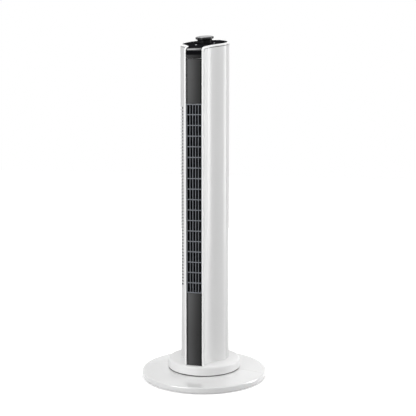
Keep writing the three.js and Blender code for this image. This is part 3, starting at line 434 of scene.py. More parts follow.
def grille_plastic():
    """Blue-grey satin plastic of the outlet, with painted shade that turns it near black
    in its depth.
    """
    grille = colours().grille
    f = Finish("grille_plastic", specular_ior_level=0.15)
    # Painted shade: the grille turns near black from its front into its depth.
    painted_depth_shade = f.fade("Y", BAND_EDGE_Y, BAND_EDGE_Y + GRILLE_PAINTED_SHADE_DEPTH)
    body = f.blend(painted_depth_shade, f.mottled(25, grille, 0.9, 1.1), shaded(grille, 0.02))
    return f.made(body, 0.36 + 0.2 * painted_depth_shade)


def trim_silver():
    """The silver strip, whose lower half rolls away, with painted shade that darkens it
    there.
    """
    silver = colours().silver
    f = Finish("trim_silver", metallic=1.0)
    # Painted shade: lighter at the top, near black over the lower half.
    body = f.blend(f.fade("Z", *TRIM_PAINTED_SHADE), shaded(silver, 0.22), shaded(silver, 0.02))
    body = f.blend(0.1 * f.noise(30), body, shaded(silver, 0.4))
    return f.made(body, 0.3 + 0.05 * f.noise(50))


def spun_silver():
    """The knob cap's spun face, with rings about the knob's own axis."""
    silver = colours().silver
    f = Finish("spun_silver", metallic=1.0)
    centred = f.mapped(f.place, Location=tuple(-KNOB_FRAME.to_translation()))
    level = f.mapped(f.mapped(centred, Rotation=(-SLOPE, 0, 0)), Scale=(1, 1, 0))
    inputs = {"W": f.length(level), "Scale": 900.0}
    rings = f.node("ShaderNodeTexNoise", {"noise_dimensions": "1D"}, inputs)
    body = f.blend(rings, shaded(silver, 0.5), shaded(silver, 0.62))
    return f.made(body, 0.3 + 0.08 * rings)


def panel_gloss():
    """The top panel's black gloss, with two plain dots beside the knob."""
    f = Finish("panel_gloss", specular_ior_level=0.0)
    wide, long = (1 / (size * MM) for size in MARK_SIZE)
    marks = []
    for x, y in PANEL_MARKS:
        move = (-x * MM * wide, -y * MM * long, 0)
        near = f.mapped(f.place, Location=move, Scale=(wide, long, 0))
        marks.append(f.length(near) < 1.0)
    black = f.mottled(40, colours().black, 1, 1.6)
    body = f.blend(marks[0] + marks[1], black, (0.55, 0.56, 0.57))
    return f.made(body, 0.3 + 0.06 * f.noise(60))


def inner_black():
    """Matt black of the air path."""
    f = Finish("inner_black", specular_ior_level=0.1)
    return f.made(f.mottled(60, (0.003, 0.003, 0.003), 1, 2), 0.6 + 0.1 * f.noise(90))


def plain_finish(name, colour, roughness, metallic=0.0, scale=120.0, depth=0.01):
    """A moulded, cast or turned surface with its fine unevenness."""
    f = Finish(name, metallic=metallic)
    body = f.mottled(scale, colour, 0.88, 1.1)
    f.bump(f.noise(scale * 4, 1.0), depth)
    return f.made(body, roughness - 0.05 + 0.1 * f.noise(scale * 2.3))


def lamination_stack():
    """Stacked sheet steel: fine level lines."""
    f = Finish("lamination_stack", metallic=1.0)
    inputs = {"Vector": f.place, "Scale": 320.0, "Distortion": 0.3}
    settings = {"wave_type": "BANDS", "bands_direction": "Z"}
    lines = f.node("ShaderNodeTexWave", settings, inputs, "Fac")
    f.bump(lines, 0.05)
    body = f.blend(lines, (0.12, 0.12, 0.13), (0.34, 0.35, 0.37))
    return f.made(body, 0.4 + 0.2 * lines)


def board_finish():
    """A green board with darker tracks."""
    f = Finish("board_green", coat_weight=0.3, coat_roughness=0.2)
    inputs = {"Vector": f.place, "Scale": 240.0}
    cells = f.node("ShaderNodeTexVoronoi", {"distance": "CHEBYCHEV"}, inputs, "Distance")
    body = f.blend(cells, (0.008, 0.07, 0.03), (0.02, 0.17, 0.07))
    return f.made(body, 0.35 + 0.2 * cells)


# Extra materials of the rims: the groove's painted shade and the rims' painted highlight.
RIM_FINISHES = ["groove_shade", "rim_white"]
FINISHES = {
    "white_gloss": (white_moulding, "white_moulding", 1.0),
    # The rear shell takes a darker copy of the white, 0.8 of the front's.
    "rear_white": (white_moulding, "rear_white", 0.8),
    # The rims' painted highlight: a lighter copy of the white.
    "rim_white": (white_moulding, "rim_white", 1.16),
    # The groove's painted shade: a dark copy of the white.
    "groove_shade": (white_moulding, "groove_shade", 0.18),
    "base_gloss": (base_gloss,),
    "smoke_gloss": (smoke_panel,),
    "window": (window_gloss,),
    "black_gloss": (black_gloss,),
    "panel_gloss": (panel_gloss,),
    "grille_black": (grille_plastic,),
    "trim_silver": (trim_silver,),
    "spun_silver": (spun_silver,),
    "inner_black": (inner_black,),
    "lamination": (lamination_stack,),
    "board_green": (board_finish,),
    "dark_plastic": (plain_finish, "dark_plastic", (0.018, 0.018, 0.02), 0.5),
    "grey_plastic": (plain_finish, "grey_plastic", (0.27, 0.275, 0.28), 0.5),
    "acetal": (plain_finish, "acetal", (0.74, 0.72, 0.66), 0.42),
    "rubber": (plain_finish, "rubber", (0.014, 0.014, 0.015), 0.8, 0, 300, 0.03),
    "steel": (plain_finish, "steel", (0.5, 0.51, 0.53), 0.34, 1.0, 90),
    "zinc": (plain_finish, "zinc", (0.6, 0.61, 0.63), 0.38, 1.0, 140),
}


@cache
def finish(name):
    """The material of that name, made when it is first asked for."""
    maker, *details = FINISHES[name]
    return maker(*details)


# ---- Mesh helpers ----


def bmesh_of(points, faces):
    """A bmesh from points in millimetres and faces given by their numbers."""
    bm = bmesh.new()
    made = [bm.verts.new(Vector(p) * MM) for p in points]
    for face in faces:
        corners = [made[i] for i in face]
        if not bm.faces.get(corners):
            bm.faces.new(corners)
    return bm


def mesh_from(name, bm, smooth_angle=SMOOTH_ANGLE):
    """Ends a bmesh as a mesh with its doubles merged.

    Unless it is still open, its angle None, it is turned outwards and smoothed too.
    """
    bmesh.ops.remove_doubles(bm, verts=bm.verts, dist=WELD)
    if smooth_angle:
        bmesh.ops.recalc_face_normals(bm, faces=bm.faces)
    mesh = bpy.data.meshes.new(name)
    bm.to_mesh(mesh)
    bm.free()
    if smooth_angle:
        mesh.shade_smooth()
        mesh.set_sharp_from_angle(angle=math.radians(smooth_angle))
    return mesh


def piece(mesh, material, body, nodes, others=()):
    """Shows a mesh as a piece that stands for CAD nodes and rides on their body."""
    if not mesh.materials:
        for each in [material, *others]:
            mesh.materials.append(finish(each))
    shown = bpy.data.objects.new(mesh.name, mesh)
    bpy.context.scene.collection.objects.link(shown)
    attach(shown, body)
    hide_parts(*nodes)
    return shown


def round_edges(shown, width):
    """Softens a piece's sharp edges."""
    bevel = shown.modifiers.new("soft_edges", "BEVEL")
    bevel.width = width * MM
    bevel.segments = 2
    bevel.limit_method = "ANGLE"
    bevel.angle_limit = math.radians(40)
    bevel.harden_normals = True


def joined(name, meshes, smooth_angle=SMOOTH_ANGLE):
    """Several meshes as one, with the points that meet merged."""
    bm = bmesh.new()
    for mesh in meshes:
        bm.from_mesh(mesh)
    return mesh_from(name, bm, smooth_angle)


def swept(name, rings, smooth_angle=SMOOTH_ANGLE, second=0, rest=0):
    """A closed section carried along a path, given as rings of points, with flat ends.

    The last sides of the section, as many as second says, take the second material,
    and the others the one numbered rest.
    """
    size = len(rings[0])
    last = (len(rings) - 1) * size
    faces = []
    for a in range(0, last, size):
        for j in range(size):
            k = (j + 1) % size
            faces.append((a + j, a + k, a + size + k, a + size + j))
    faces += [range(size), range(last, last + size)]
    bm = bmesh_of([p for ring in rings for p in ring], faces)
    for index, face in enumerate(bm.faces):
        side = len(face.verts) == 4 and index % size >= size - second
        face.material_index = 1 if side else rest
    return mesh_from(name, bm, smooth_angle)


def turned(name, profile, segments=96, place=None):
    """A closed profile of (radius, z) turned about Z, which may touch the axis."""
    points, faces, starts = [], [], []
    for r, z in profile:
        count = segments if r > 0 else 1
        starts.append((len(points), count))
        for j in range(count):
            a = 2 * math.pi * j / segments
            points.append((r * math.cos(a), r * math.sin(a), z))
    for (a, na), (b, nb) in zip(starts, starts[1:] + starts[:1]):
        if na == nb == 1:
            continue
        for j in range(segments):
            k = (j + 1) % segments
            corners = (a + j % na, a + k % na, b + k % nb, b + j % nb)
            faces.append(tuple(dict.fromkeys(corners)))
    mesh = mesh_from(name, bmesh_of(points, faces))
    if place:
        mesh.transform(place)
    return mesh


def arc(cx, cy, radius, start, end, steps):
    """Points of an arc, in degrees."""
    angles = [math.radians(start + (end - start) * i / steps) for i in range(steps + 1)]
    return [(cx + radius * math.cos(a), cy + radius * math.sin(a)) for a in angles]


def prism(name, outline, low, high, smooth_angle=SMOOTH_ANGLE):
    """A level outline carried from one height to another."""
    rings = [[(x, y, z) for x, y in outline] for z in (low, high)]
    return swept(name, rings, smooth_angle)


def slab(name, x0, x1, y0, y1, z0, z1):
    """A plain block."""
    return prism(name, [(x0, y0), (x1, y0), (x1, y1), (x0, y1)], z0, z1)


# ---- Repeats with Geometry Nodes ----


class Repeat:
    """A node tree that repeats a small mesh, with named inputs for its sizes."""

    def __init__(self, name, **inputs):
        self.tree = bpy.data.node_groups.new(name, "GeometryNodeTree")
        sockets = {"Geometry": "Geometry", **inputs, "Material": "Material"}
        for label, kind in sockets.items():
            self._socket(label, kind, "INPUT")
        self._socket("Geometry", "Geometry", "OUTPUT")
        self.inputs = self.tree.nodes.new("NodeGroupInput").outputs
        self.output = self.tree.nodes.new("NodeGroupOutput").inputs

    def _socket(self, label, kind, way):
        self.tree.interface.new_socket(label, in_out=way, socket_type=f"NodeSocket{kind}")

    def node(self, *details):
        return add_node(self.tree, *details)

    def maths(self, operation, *values):
        """A sum of numbers or sockets."""
        inputs = dict(enumerate(values))
        return self.node("ShaderNodeMath", {"operation": operation}, inputs)

    def vector(self, **parts):
        return self.node("ShaderNodeCombineXYZ", {}, parts)

    def close(self, points, rotation=(0, 0, 0)):
        """Puts the mesh on the points and ends in plain welded mesh."""
        seed = self.inputs["Geometry"]
        inputs = {"Points": points, "Instance": seed, "Rotation": rotation}
        placed = self.node("GeometryNodeInstanceOnPoints", {}, inputs)
        real = self.node("GeometryNodeRealizeInstances", {}, {0: placed})
        weld = {"Geometry": real, "Distance": WELD}
        welded = self.node("GeometryNodeMergeByDistance", {}, weld)
        last = {"Geometry": welded, "Material": self.inputs["Material"]}
        done = self.node("GeometryNodeSetMaterial", {}, last)
        self.tree.links.new(done, self.output[0])
        return self.tree


def stack_tree():
    """Repeats a mesh up a line."""
    r = Repeat("fan_stack", Count="Int", Start="Vector", Step="Vector")
    labels = {"Count": "Count", "Start Location": "Start", "Offset": "Step"}
    line = {key: r.inputs[label] for key, label in labels.items()}
    return r.close(r.node("GeometryNodeMeshLine", {}, line))


def bowed_row_tree():
    """Repeats a mesh along X, set back by the square of its share of the half width."""
    r = Repeat("fan_bowed_row", Count="Int", Pitch="Float", Half="Float", Bulge="Float")
    count, pitch = r.inputs["Count"], r.inputs["Pitch"]
    width = r.maths("MULTIPLY", r.maths("SUBTRACT", count, 1.0), pitch)
    start = r.vector(X=r.maths("MULTIPLY", width, -0.5))
    line = {"Count": count, "Start Location": start, "Offset": r.vector(X=pitch)}
    row = r.node("GeometryNodeMeshLine", {}, line)
    place = r.node("GeometryNodeInputPosition")
    x = r.node("ShaderNodeSeparateXYZ", {}, {0: place}, "X")
    share = r.maths("DIVIDE", x, r.inputs["Half"])
    back = r.maths("MULTIPLY", r.maths("MULTIPLY", share, share), r.inputs["Bulge"])
    bowed = {"Geometry": row, "Offset": r.vector(Y=back)}
    return r.close(r.node("GeometryNodeSetPosition", {}, bowed))


def ring_tree():
    """Repeats a mesh round Z, each one turned to face outwards."""
    r = Repeat("fan_ring", Count="Int", Radius="Float", Start="Float")
    count, start = r.inputs["Count"], r.inputs["Start"]
    circle = {"Vertices": count, "Radius": r.inputs["Radius"]}
    points = r.node("GeometryNodeMeshCircle", {}, circle)
    turn = {"Geometry": points, "Rotation": r.vector(Z=start)}
    share = r.maths("DIVIDE", r.node("GeometryNodeInputIndex"), count)
    angle = r.maths("MULTIPLY_ADD", share, 2 * math.pi, start)
    return r.close(r.node("GeometryNodeTransform", {}, turn), r.vector(Z=angle))


def repeated(name, mesh, tree, material, **values):
    """Runs a repeat tree on a mesh and gives the result as a plain mesh."""
    values["Material"] = finish(material)
    mesh.materials.clear()
    mesh.materials.append(finish(material))
    holder = bpy.data.objects.new(f"{name}_seed", mesh)
    bpy.context.scene.collection.objects.link(holder)
    modifier = holder.modifiers.new("repeat", "NODES")
    modifier.node_group = tree
    for item in tree.interface.items_tree:
        if item.in_out == "INPUT" and item.name in values:
            modifier[item.identifier] = values[item.name]
    holder.update_tag()
    graph = bpy.context.evaluated_depsgraph_get()
    made = bpy.data.meshes.new_from_object(holder.evaluated_get(graph))
    made.name = name
    bpy.data.objects.remove(holder)
    if not made.polygons:
        raise RuntimeError(f"{name} came out empty")
    return made


# ---- The column's section ----


def wing_point(t):
    """A point of the right wing's curve and its inward direction, from nose to rear."""
    end = Vector(rear_point(WING_END))
    along = Vector((-math.sin(WING_END), math.cos(WING_END)))
    p0 = Vector((NOSE_HALF, NOSE_SIDE_END))
    p1 = p0 + Vector((0, WING_PULLS[0]))
    p2 = end - along * WING_PULLS[1]
    u = 1 - t
    point = u**3 * p0 + 3 * u * u * t * p1 + 3 * u * t * t * p2 + t**3 * end
    slope = 3 * u * u * (p1 - p0) + 6 * u * t * (p2 - p1) + 3 * t * t * (end - p2)
    slope.normalize()
    return point, Vector((-slope.y, slope.x))


def rear_point(angle, radius=REAR_RADIUS):
    return (radius * math.cos(angle), REAR_CENTRE + radius * math.sin(angle))


def wing_curve(end_y, steps):
    """Points of the wing's curve with their inward directions, up to a seam."""
    last = 1.0
    while wing_point(last)[0].y > end_y:
        last -= SEAM_SHARE
    return [wing_point(last * i / steps) for i in range(steps + 1)]


def wing_stations(start_y, end_y):
    """Points of the right side with their inward directions, from nose to seam."""
    stations = []
    for i in range(NOSE_STEPS):
        y = start_y + (NOSE_SIDE_END - start_y) * i / NOSE_STEPS
        stations.append((Vector((NOSE_HALF, y)), INWARD))
    return stations + wing_curve(end_y, WING_STEPS)


def mirrored(mesh, name):
    """The other side's copy of a mesh."""
    bm = bmesh.new()
    bm.from_mesh(mesh)
    bmesh.ops.scale(bm, vec=(-1, 1, 1), verts=bm.verts)
    return mesh_from(name, bm)


# ---- Rim and lips ----


def wall_setback():
    """How far the walls' edges stop short of the rim's outer edge, in millimetres."""
    return (sizes().bead + sizes().groove) / MM


def rim_section(depth):
    """The band's section: u runs inwards from its outer edge and v down from its face."""
    edge = sizes().lip_edge / MM
    inner = 0.7
    step = sizes().bead / MM
    outer = [(edge - x, edge - y) for x, y in arc(0, 0, edge, 0, 90, 6)]
    return [
        (0, step),
        *outer,
        *[(LIP_WIDTH - inner + x, inner - y) for x, y in arc(0, 0, inner, 90, 0, 3)],
        (LIP_WIDTH, depth),
        (GROOVE_DEPTH, depth),
        (GROOVE_DEPTH, step + 0.6),
        (GROOVE_DEPTH - 0.6, step),
    ]


def rim_ring(origin, inward, down, depth):
    """The section placed at one point of the band's path."""
    return [origin + inward * u + down * v for u, v in rim_section(depth)]


def top_ring(point, inward):
    """The section on the sloped top, over a point of the outline."""
    origin = Vector((point.x, point.y, top_height(point.y)))
    level = Vector((inward.x, inward.y, inward.y * math.tan(SLOPE)))
    return rim_ring(origin, level, Vector((0, 0, -1)), RIM_DEPTH)


def corner_points(radius):
    """The lips' rounded top corner at a radius: each point's angle, depth and height."""
    cy = -NOSE_FRONT + CORNER_RADIUS
    cz = top_height(cy) - CORNER_RADIUS / math.cos(SLOPE)
    points = []
    for i in range(CORNER_STEPS + 1):
        a = (math.pi / 2 - SLOPE) * i / CORNER_STEPS
        points.append((a, cy - radius * math.cos(a), cz + radius * math.sin(a)))
    return points


def front_rim(name, end_y):
    """The right lip, its rounded top corner and the rim back to a seam."""
    inward = INWARD.to_3d()
    corner = corner_points(CORNER_RADIUS)
    rings = []
    for z in (COLUMN_BOTTOM, *LIP_RINGS, corner[0][2]):
        origin = Vector((NOSE_HALF, -NOSE_FRONT, z))
        rings.append(rim_ring(origin, inward, Vector((0, 1, 0)), LIP_DEPTH))
    for a, y, z in corner[1:]:
        down = Vector((0, math.cos(a), -math.sin(a)))
        rings.append(rim_ring(Vector((NOSE_HALF, y, z)), inward, down, RIM_DEPTH))
    for point, side in wing_stations(corner[-1][1] + 1.5, end_y):
        rings.append(top_ring(point, side))
    # The groove's faces take the painted groove shade, and the rest the rim's painted
    # highlight.
    return swept(name, rings, second=3, rest=2)


def wing_sheet(name, end_y):
    """The right wing's wall, whose front and top edges stop short of the rim."""
    setback = wall_setback()
    corner = corner_points(CORNER_RADIUS - setback)
    columns = [(Vector((NOSE_HALF, y)), INWARD, z) for _, y, z in corner]
    for point, side in wing_stations(columns[-1][0].y + 0.8, end_y):
        columns.append((point, side, top_height(point.y, setback / math.cos(SLOPE))))
    low = COLUMN_BOTTOM
    rings = []
    for point, side, top in columns:
        inner = point + side * WALL
        ring = [(point, low), (point, top), (inner, top), (inner, low)]
        rings.append([(p.x, p.y, z) for p, z in ring])
    return swept(name, rings)


class FAN_OT_front_housing(bpy.types.Operator):
    """Builds the white front moulding: wings, lips, rim and the plates behind the band"""

    bl_idname = "fan.front_housing"
    bl_label = "Front Housing"

    def execute(self, context):
        right, left = SEAM_Y - SEAM_GAP / 2, LEFT_SEAM_Y - SEAM_GAP / 2
        parts = [
            wing_sheet("wing_right", right),
            front_rim("rim_right", right),
            mirrored(wing_sheet("wing_left", left), "wing_left"),
            mirrored(front_rim("rim_left", left), "rim_left"),
        ]
        for z0, z1 in ((COLUMN_BOTTOM, OUTLET[0]), (OUTLET[1], BACKING_TOP)):
            parts.append(slab("backing", -BACKING_HALF, BACKING_HALF, *BACKING, z0, z1))
        mesh = joined("front_housing_moulding", parts)
        nodes = ["front_housing"]
        shown = piece(mesh, "white_gloss", "column", nodes, RIM_FINISHES)
        round_edges(shown, 0.25)
        return {"FINISHED"}


# ---- Rear shell ----


def slot_openness(distance):
    """Half the slot's height at a distance from its rounded end."""
    radius = SLOT_HEIGHT / 2
    if distance <= 0:
        return 0.0
    if distance >= radius:
        return radius
    return math.sqrt(radius**2 - (radius - distance) ** 2)


def back_curve():
    """Fine points round the back with their inward directions, from seam to seam."""
    first = math.asin((SEAM_Y + SEAM_GAP / 2 - REAR_CENTRE) / REAR_RADIUS)
    last = math.pi - WING_END
    fine = []
    for i in range(BACK_STEPS + 1):
        a = first + (last - first) * i / BACK_STEPS
        fine.append((Vector(rear_point(a)), Vector((-math.cos(a), -math.sin(a)))))
    share = 1 - WING_SHARE
    point, inward = wing_point(share)
    while point.y > LEFT_SEAM_Y + SEAM_GAP / 2:
        fine.append((Vector((-point.x, point.y)), Vector((-inward.x, inward.y))))
        share -= WING_SHARE
        point, inward = wing_point(share)
    return fine


def curve_length(curve, until=None):
    """The length of a curve up to the first point that passes the test."""
    total = 0.0
    for (a, _), (b, _) in zip(curve, curve[1:]):
        if until and until(b):
            break
        total += (b - a).length
    return total


def along_curve(curve, run):
    """The point and inward direction at a length along a curve."""
    for (a, n), (b, m) in zip(curve, curve[1:]):
        step = (b - a).length
        if run <= step:
            return a.lerp(b, run / step), n.lerp(m, run / step).normalized()
        run -= step
    return curve[-1]


def rear_stations():
    """Points round the back with inward directions and the slots' half height there."""
    curve = back_curve()
    total = curve_length(curve)
    slots = (
        (curve_length(curve, lambda p: p.y > SLOTS_RIGHT_Y),
         curve_length(curve, lambda p: p.x < SPINE_HALF)),
        (curve_length(curve, lambda p: p.x < -SPINE_HALF),
         curve_length(curve, lambda p: p.x < 0 and p.y < SLOTS_LEFT_Y)),
    )
    runs = {0.0, total}
    for low, high in slots:
        runs |= {low + d for d in SLOT_END_STEPS} | {high - d for d in SLOT_END_STEPS}
    keep = sorted(runs)
    for a, b in zip(keep, keep[1:]):
        count = int((b - a) / BACK_SPACING)
        runs |= {a + (b - a) * i / (count + 1) for i in range(1, count + 1)}

    def half(run):
        inside = [min(run - low, high - run) for low, high in slots]
        return slot_openness(round(max(inside), 6))

    return [(*along_curve(curve, run), half(run)) for run in sorted(runs)]


def rear_cell():
    """One slot on each side with the wall round it, a pitch high, about z = 0."""
    chamfer = sizes().slot_edge / MM
    points, faces, index = [], [], {}
    stations = rear_stations()

    def at(i, inset, z):
        key = (i, round(inset, 4), round(z, 4))
        if key not in index:
            spot = stations[i][0] + stations[i][1] * inset
            index[key] = len(points)
            points.append((spot.x, spot.y, z))
        return index[key]

    def column(i, sign):
        half = stations[i][2]
        cut = chamfer * half / (SLOT_HEIGHT / 2)
        return [
            at(i, 0, sign * SLOT_PITCH / 2),
            at(i, 0, sign * (half + cut)),
            at(i, cut, sign * half),
            at(i, WALL, sign * half),
            at(i, WALL, sign * SLOT_PITCH / 2),
        ]

    for i in range(len(stations) - 1):
        shut = stations[i][2] == 0 and stations[i + 1][2] == 0
        for sign in (1, -1):
            a, b = column(i, sign), column(i + 1, sign)
            for j in (0, 3) if shut else (0, 1, 2, 3):
                face = tuple(dict.fromkeys((a[j], a[j + 1], b[j + 1], b[j])))
                if len(face) > 2:
                    faces.append(face)
    for i in (0, len(stations) - 1):
        for low, high in ((-SLOT_PITCH / 2, 0), (0, SLOT_PITCH / 2)):
            corners = ((0, low), (0, high), (WALL, high), (WALL, low))
            faces.append(tuple(at(i, inset, z) for inset, z in corners))
    return mesh_from("rear_cell", bmesh_of(points, faces), None)


def rear_sheet(name, low, high, closed_end):
    """The plain wall above or below the slots. low and high give heights over y."""
    points, faces = [], []
    stations = rear_stations()
    for point, inward, _ in stations:
        for spot in (point, point + inward * WALL):
            points.append((spot.x, spot.y, low(point.y)))
            points.append((spot.x, spot.y, high(point.y)))
    for i in range(len(stations) - 1):
        a, b = 4 * i, 4 * (i + 1)
        faces.append((a, b, b + 1, a + 1))
        faces.append((a + 2, a + 3, b + 3, b + 2))
        if closed_end == "low":
            faces.append((a, a + 2, b + 2, b))
        else:
            faces.append((a + 1, b + 1, b + 3, a + 3))
    for i in (0, len(stations) - 1):
        faces.append((4 * i, 4 * i + 1, 4 * i + 3, 4 * i + 2))
    return mesh_from(name, bmesh_of(points, faces), None)


class FAN_OT_rear_shell(bpy.types.Operator):
    """Builds the rear moulding with its round-ended intake slots"""

    bl_idname = "fan.rear_shell"
    bl_label = "Rear Shell"

    def execute(self, context):
        count = sizes().slots
        low = SLOTS_BOTTOM - (SLOT_PITCH - SLOT_HEIGHT) / 2
        high = low + SLOT_PITCH * count
        cells = repeated(
            "slotted_wall", rear_cell(), stack_tree(), "rear_white",
            Count=count,
            Start=Vector((0, 0, low + SLOT_PITCH / 2)) * MM,
            Step=Vector((0, 0, SLOT_PITCH)) * MM,
        )
        setback = wall_setback()
        foot = rear_sheet("foot", lambda y: COLUMN_BOTTOM, lambda y: low, "low")
        head = rear_sheet(
            "head", lambda y: high, lambda y: top_height(y, setback), "high"
        )
        rings = [top_ring(point, inward) for point, inward, _ in rear_stations()]
        # The groove's faces take the painted groove shade, and the rest the rim's painted
        # highlight.
        rim = swept("rear_rim", rings, second=3, rest=2)
        mesh = joined("rear_shell_moulding", [cells, foot, head, rim])
        piece(mesh, "rear_white", "column", ["rear_shell"], RIM_FINISHES)
        return {"FINISHED"}


# ---- Turntable and base ----


class FAN_OT_turntable(bpy.types.Operator):
    """Turns the round collar that carries the column"""

    bl_idname = "fan.turntable"
    bl_label = "Turntable"

    def execute(self, context):
        r, edge = TURNTABLE_RADIUS, sizes().turntable_edge / MM
        profile = [  # bore, running ring, hollow and skirt, then the rounded rim
            (8, 5), (12, 5), (12, 45), (18, 45), (18, 40.2), (26, 40.2), (26, 45),
            (r - 3, 45), (r - 3, 25.4), (r - 2.6, 25), (r - 0.6, 25), (r, 25.6),
            *arc(r - edge, TURNTABLE_TOP - edge, edge, 0, 90, 10), (8, TURNTABLE_TOP),
        ]
        mesh = turned("turntable_collar", profile, 144)
        piece(mesh, "white_gloss", "column", ["turntable"])
        return {"FINISHED"}


def base_profile():
    """The crown and skirt, one wall thick, as a closed loop of (radius, z)."""
    r = BASE_RADIUS
    crown = smooth_line([(r - 4, 17.2), (r - 12, 18.25), *BASE_CROWN])
    under = [(x, z - BASE_WALL) for x, z in smooth_line([(150, 18), *BASE_CROWN])]
    return [
        (r - 2.2, 2), *arc(r - 2.2, 4.2, 2.2, -80, 0, 4),
        *arc(r - 3.2, 13.6, 3.2, 0, 72, 6), *crown,
        (BASE_HOLE + 0.5, 23), (BASE_HOLE, 22.5), (BASE_HOLE, 20.3),
        *reversed(under), (r - BASE_WALL, 12), (r - 3.7, 2),
    ]


def smooth_line(points, steps=5):
    """A soft line through points."""
    out = []
    for i in range(len(points) - 1):
        p0 = points[max(i - 1, 0)]
        p1, p2 = points[i], points[i + 1]
        p3 = points[min(i + 2, len(points) - 1)]
        for j in range(steps):
            t = j / steps
            out.append(tuple(
                0.5 * (2 * b + (c - a) * t + (2 * a - 5 * b + 4 * c - d) * t * t
                       + (3 * b - a - 3 * c + d) * t**3)
                for a, b, c, d in zip(p0, p1, p2, p3)
            ))
    return [*out, points[-1]]


def half_of(mesh, name, side):
    """One half of a turned mesh, with a fine chamfer along the parting line."""
    bm = bmesh.new()
    bm.from_mesh(mesh)
    near, soft = side * SEAM_GAP / 2 * MM, side * (SEAM_GAP / 2 + PARTING_EDGE[0]) * MM
    for y in (soft, near):
        everything = bm.verts[:] + bm.edges[:] + bm.faces[:]
        bmesh.ops.bisect_plane(
            bm, geom=everything, plane_co=(0, y, 0), plane_no=(0, side, 0),
            clear_inner=(y == near), dist=1e-7,
        )
    bm.normal_update()
    boundary = [e for e in bm.edges if e.is_boundary]
    rim = [(v, v.normal.copy()) for v in bm.verts if abs(v.co.y - near) < 1e-6]
    for v, normal in rim:
        flat = Vector((normal.x, 0, normal.z))
        if normal.z > 0.3:  # the top's edge alone
            v.co -= flat.normalized() * PARTING_EDGE[1] * MM
    bmesh.ops.holes_fill(bm, edges=boundary, sides=0)
    return mesh_from(name, bm)


class FAN_OT_base(bpy.types.Operator):
    """Builds the two halves of the round base"""

    bl_idname = "fan.base"
    bl_label = "Base Halves"

    def execute(self, context):
        whole = turned("base_whole", base_profile(), 180)
        rib = swept("rib", [[(x, y, z) for x, z in BASE_RIB] for y in (-1, 1)])
        for half, side, first in (("front", -1, 202.5), ("rear", 1, 22.5)):
            parts = [half_of(whole, f"base_{half}_shell", side)]
            for i in range(4):
                copy = rib.copy()
                turn = math.radians(first) + math.pi * i / 4
                copy.transform(Matrix.Rotation(turn, 4, "Z"))
                parts.append(copy)
            mesh = joined(f"base_{half}_moulding", parts)
            piece(mesh, "base_gloss", "base", [f"base_{half}_half"])
        return {"FINISHED"}


class FAN_OT_feet(bpy.types.Operator):
    """Sets the ribbed rubber feet under the base"""

    bl_idname = "fan.feet"
    bl_label = "Feet"

    def execute(self, context):
        profile = [
            (0, 0.5), (5.4, 0.5), (5.8, 0.1), (6.2, 0), (8, 0),
            *arc(8.2, 0.8, 0.8, -90, 0, 3), (9, 1.7), (0, 1.7),
        ]
        foot = turned("foot_pad", profile, 28)
        mesh = repeated(
            "foot_pads", foot, ring_tree(), "rubber",
            Count=4, Radius=FOOT_CIRCLE * MM, Start=math.pi / 4,
        )
        nodes = [f"base_foot_{i}" for i in range(1, 5)]
        piece(mesh, "rubber", "base", nodes)
        return {"FINISHED"}


# ---- Front band ----


def bow_y(x):
    """The band's front over its width."""
    return BAND_EDGE_Y - sizes().bulge / MM * (1 - (x / BAND_HALF) ** 2)


def across(half, steps):
    """Even places from one side of the band to the other."""
    return [-half + 2 * half * i / steps for i in range(steps + 1)]


def bowed_strip(name, bottom, top, edge=STRIP_EDGE):
    """A strip of the band with softly rolled edges, bowed in front and flat behind."""
    near = edge * 0.3
    levels = (
        (bottom, edge), (bottom + near, near), (bottom + edge, 0),
        (top - edge, 0), (top - near, near), (top, edge),
    )
    rings = []
    for z, pull in levels:
        front = []
        for i, x in enumerate(across(BAND_HALF, STRIP_STEPS)):
            roll = edge * 0.6 if i in (0, STRIP_STEPS) else 0
            front.append((x, bow_y(x) + max(pull, roll), z))
        rings.append([*front, (BAND_HALF, BAND_BACK_Y, z), (-BAND_HALF, BAND_BACK_Y, z)])
    return swept(name, rings, BAND_SMOOTH)


class FAN_OT_front_panels(bpy.types.Operator):
    """Builds the dark panels, the window field and the silver trim of the front band"""

    bl_idname = "fan.front_panels"
    bl_label = "Front Panels"

    def execute(self, context):
        trim_top = top_height(BAND_EDGE_Y, PANEL_RECESS)
        rows = (  # name, node, heights, edge, finish and slot
            ("lower_panel", "lower_front_panel", COLUMN_BOTTOM, OUTLET[0] - SEAT_GAP,
             STRIP_EDGE, "smoke_gloss", "smoke_gloss"),
            ("upper_panel", "upper_front_panel", OUTLET[1] + SEAT_GAP,
             WINDOW_BOTTOM - SEAM_GAP, STRIP_EDGE, "smoke_gloss", "smoke_gloss"),
            ("window_field", "display_window", WINDOW_BOTTOM + SEAT_GAP,
             TRIM_BOTTOM - SEAT_GAP, STRIP_EDGE, "window", "black_gloss"),
            ("silver_trim", "trim_strip", TRIM_BOTTOM, trim_top,
             TRIM_EDGE, "trim_silver", "satin_silver"),
        )
        for name, node, low, high, edge, material, slot_name in rows:
            mesh = bowed_strip(name, low, high, edge)
            piece(mesh, material, "column", [node])
        return {"FINISHED"}


def grille_bar(height):
    """One level bar, bowed, with a rounded nose."""
    half = height / 2
    soft = half * 0.55
    back = BAND_EDGE_Y + BAR_DEPTH
    rings = []
    for x in across(BAND_HALF - 1, BAR_STEPS):
        y = bow_y(x)
        section = [
            (y + soft, -half), (y + soft * 0.3, -half * 0.72), (y, -half * 0.35),
            (y, half * 0.35), (y + soft * 0.3, half * 0.72), (y + soft, half),
            (back, half), (back, -half),
        ]
        rings.append([(x, a, b) for a, b in section])
    return swept("grille_bar", rings, BAND_SMOOTH)


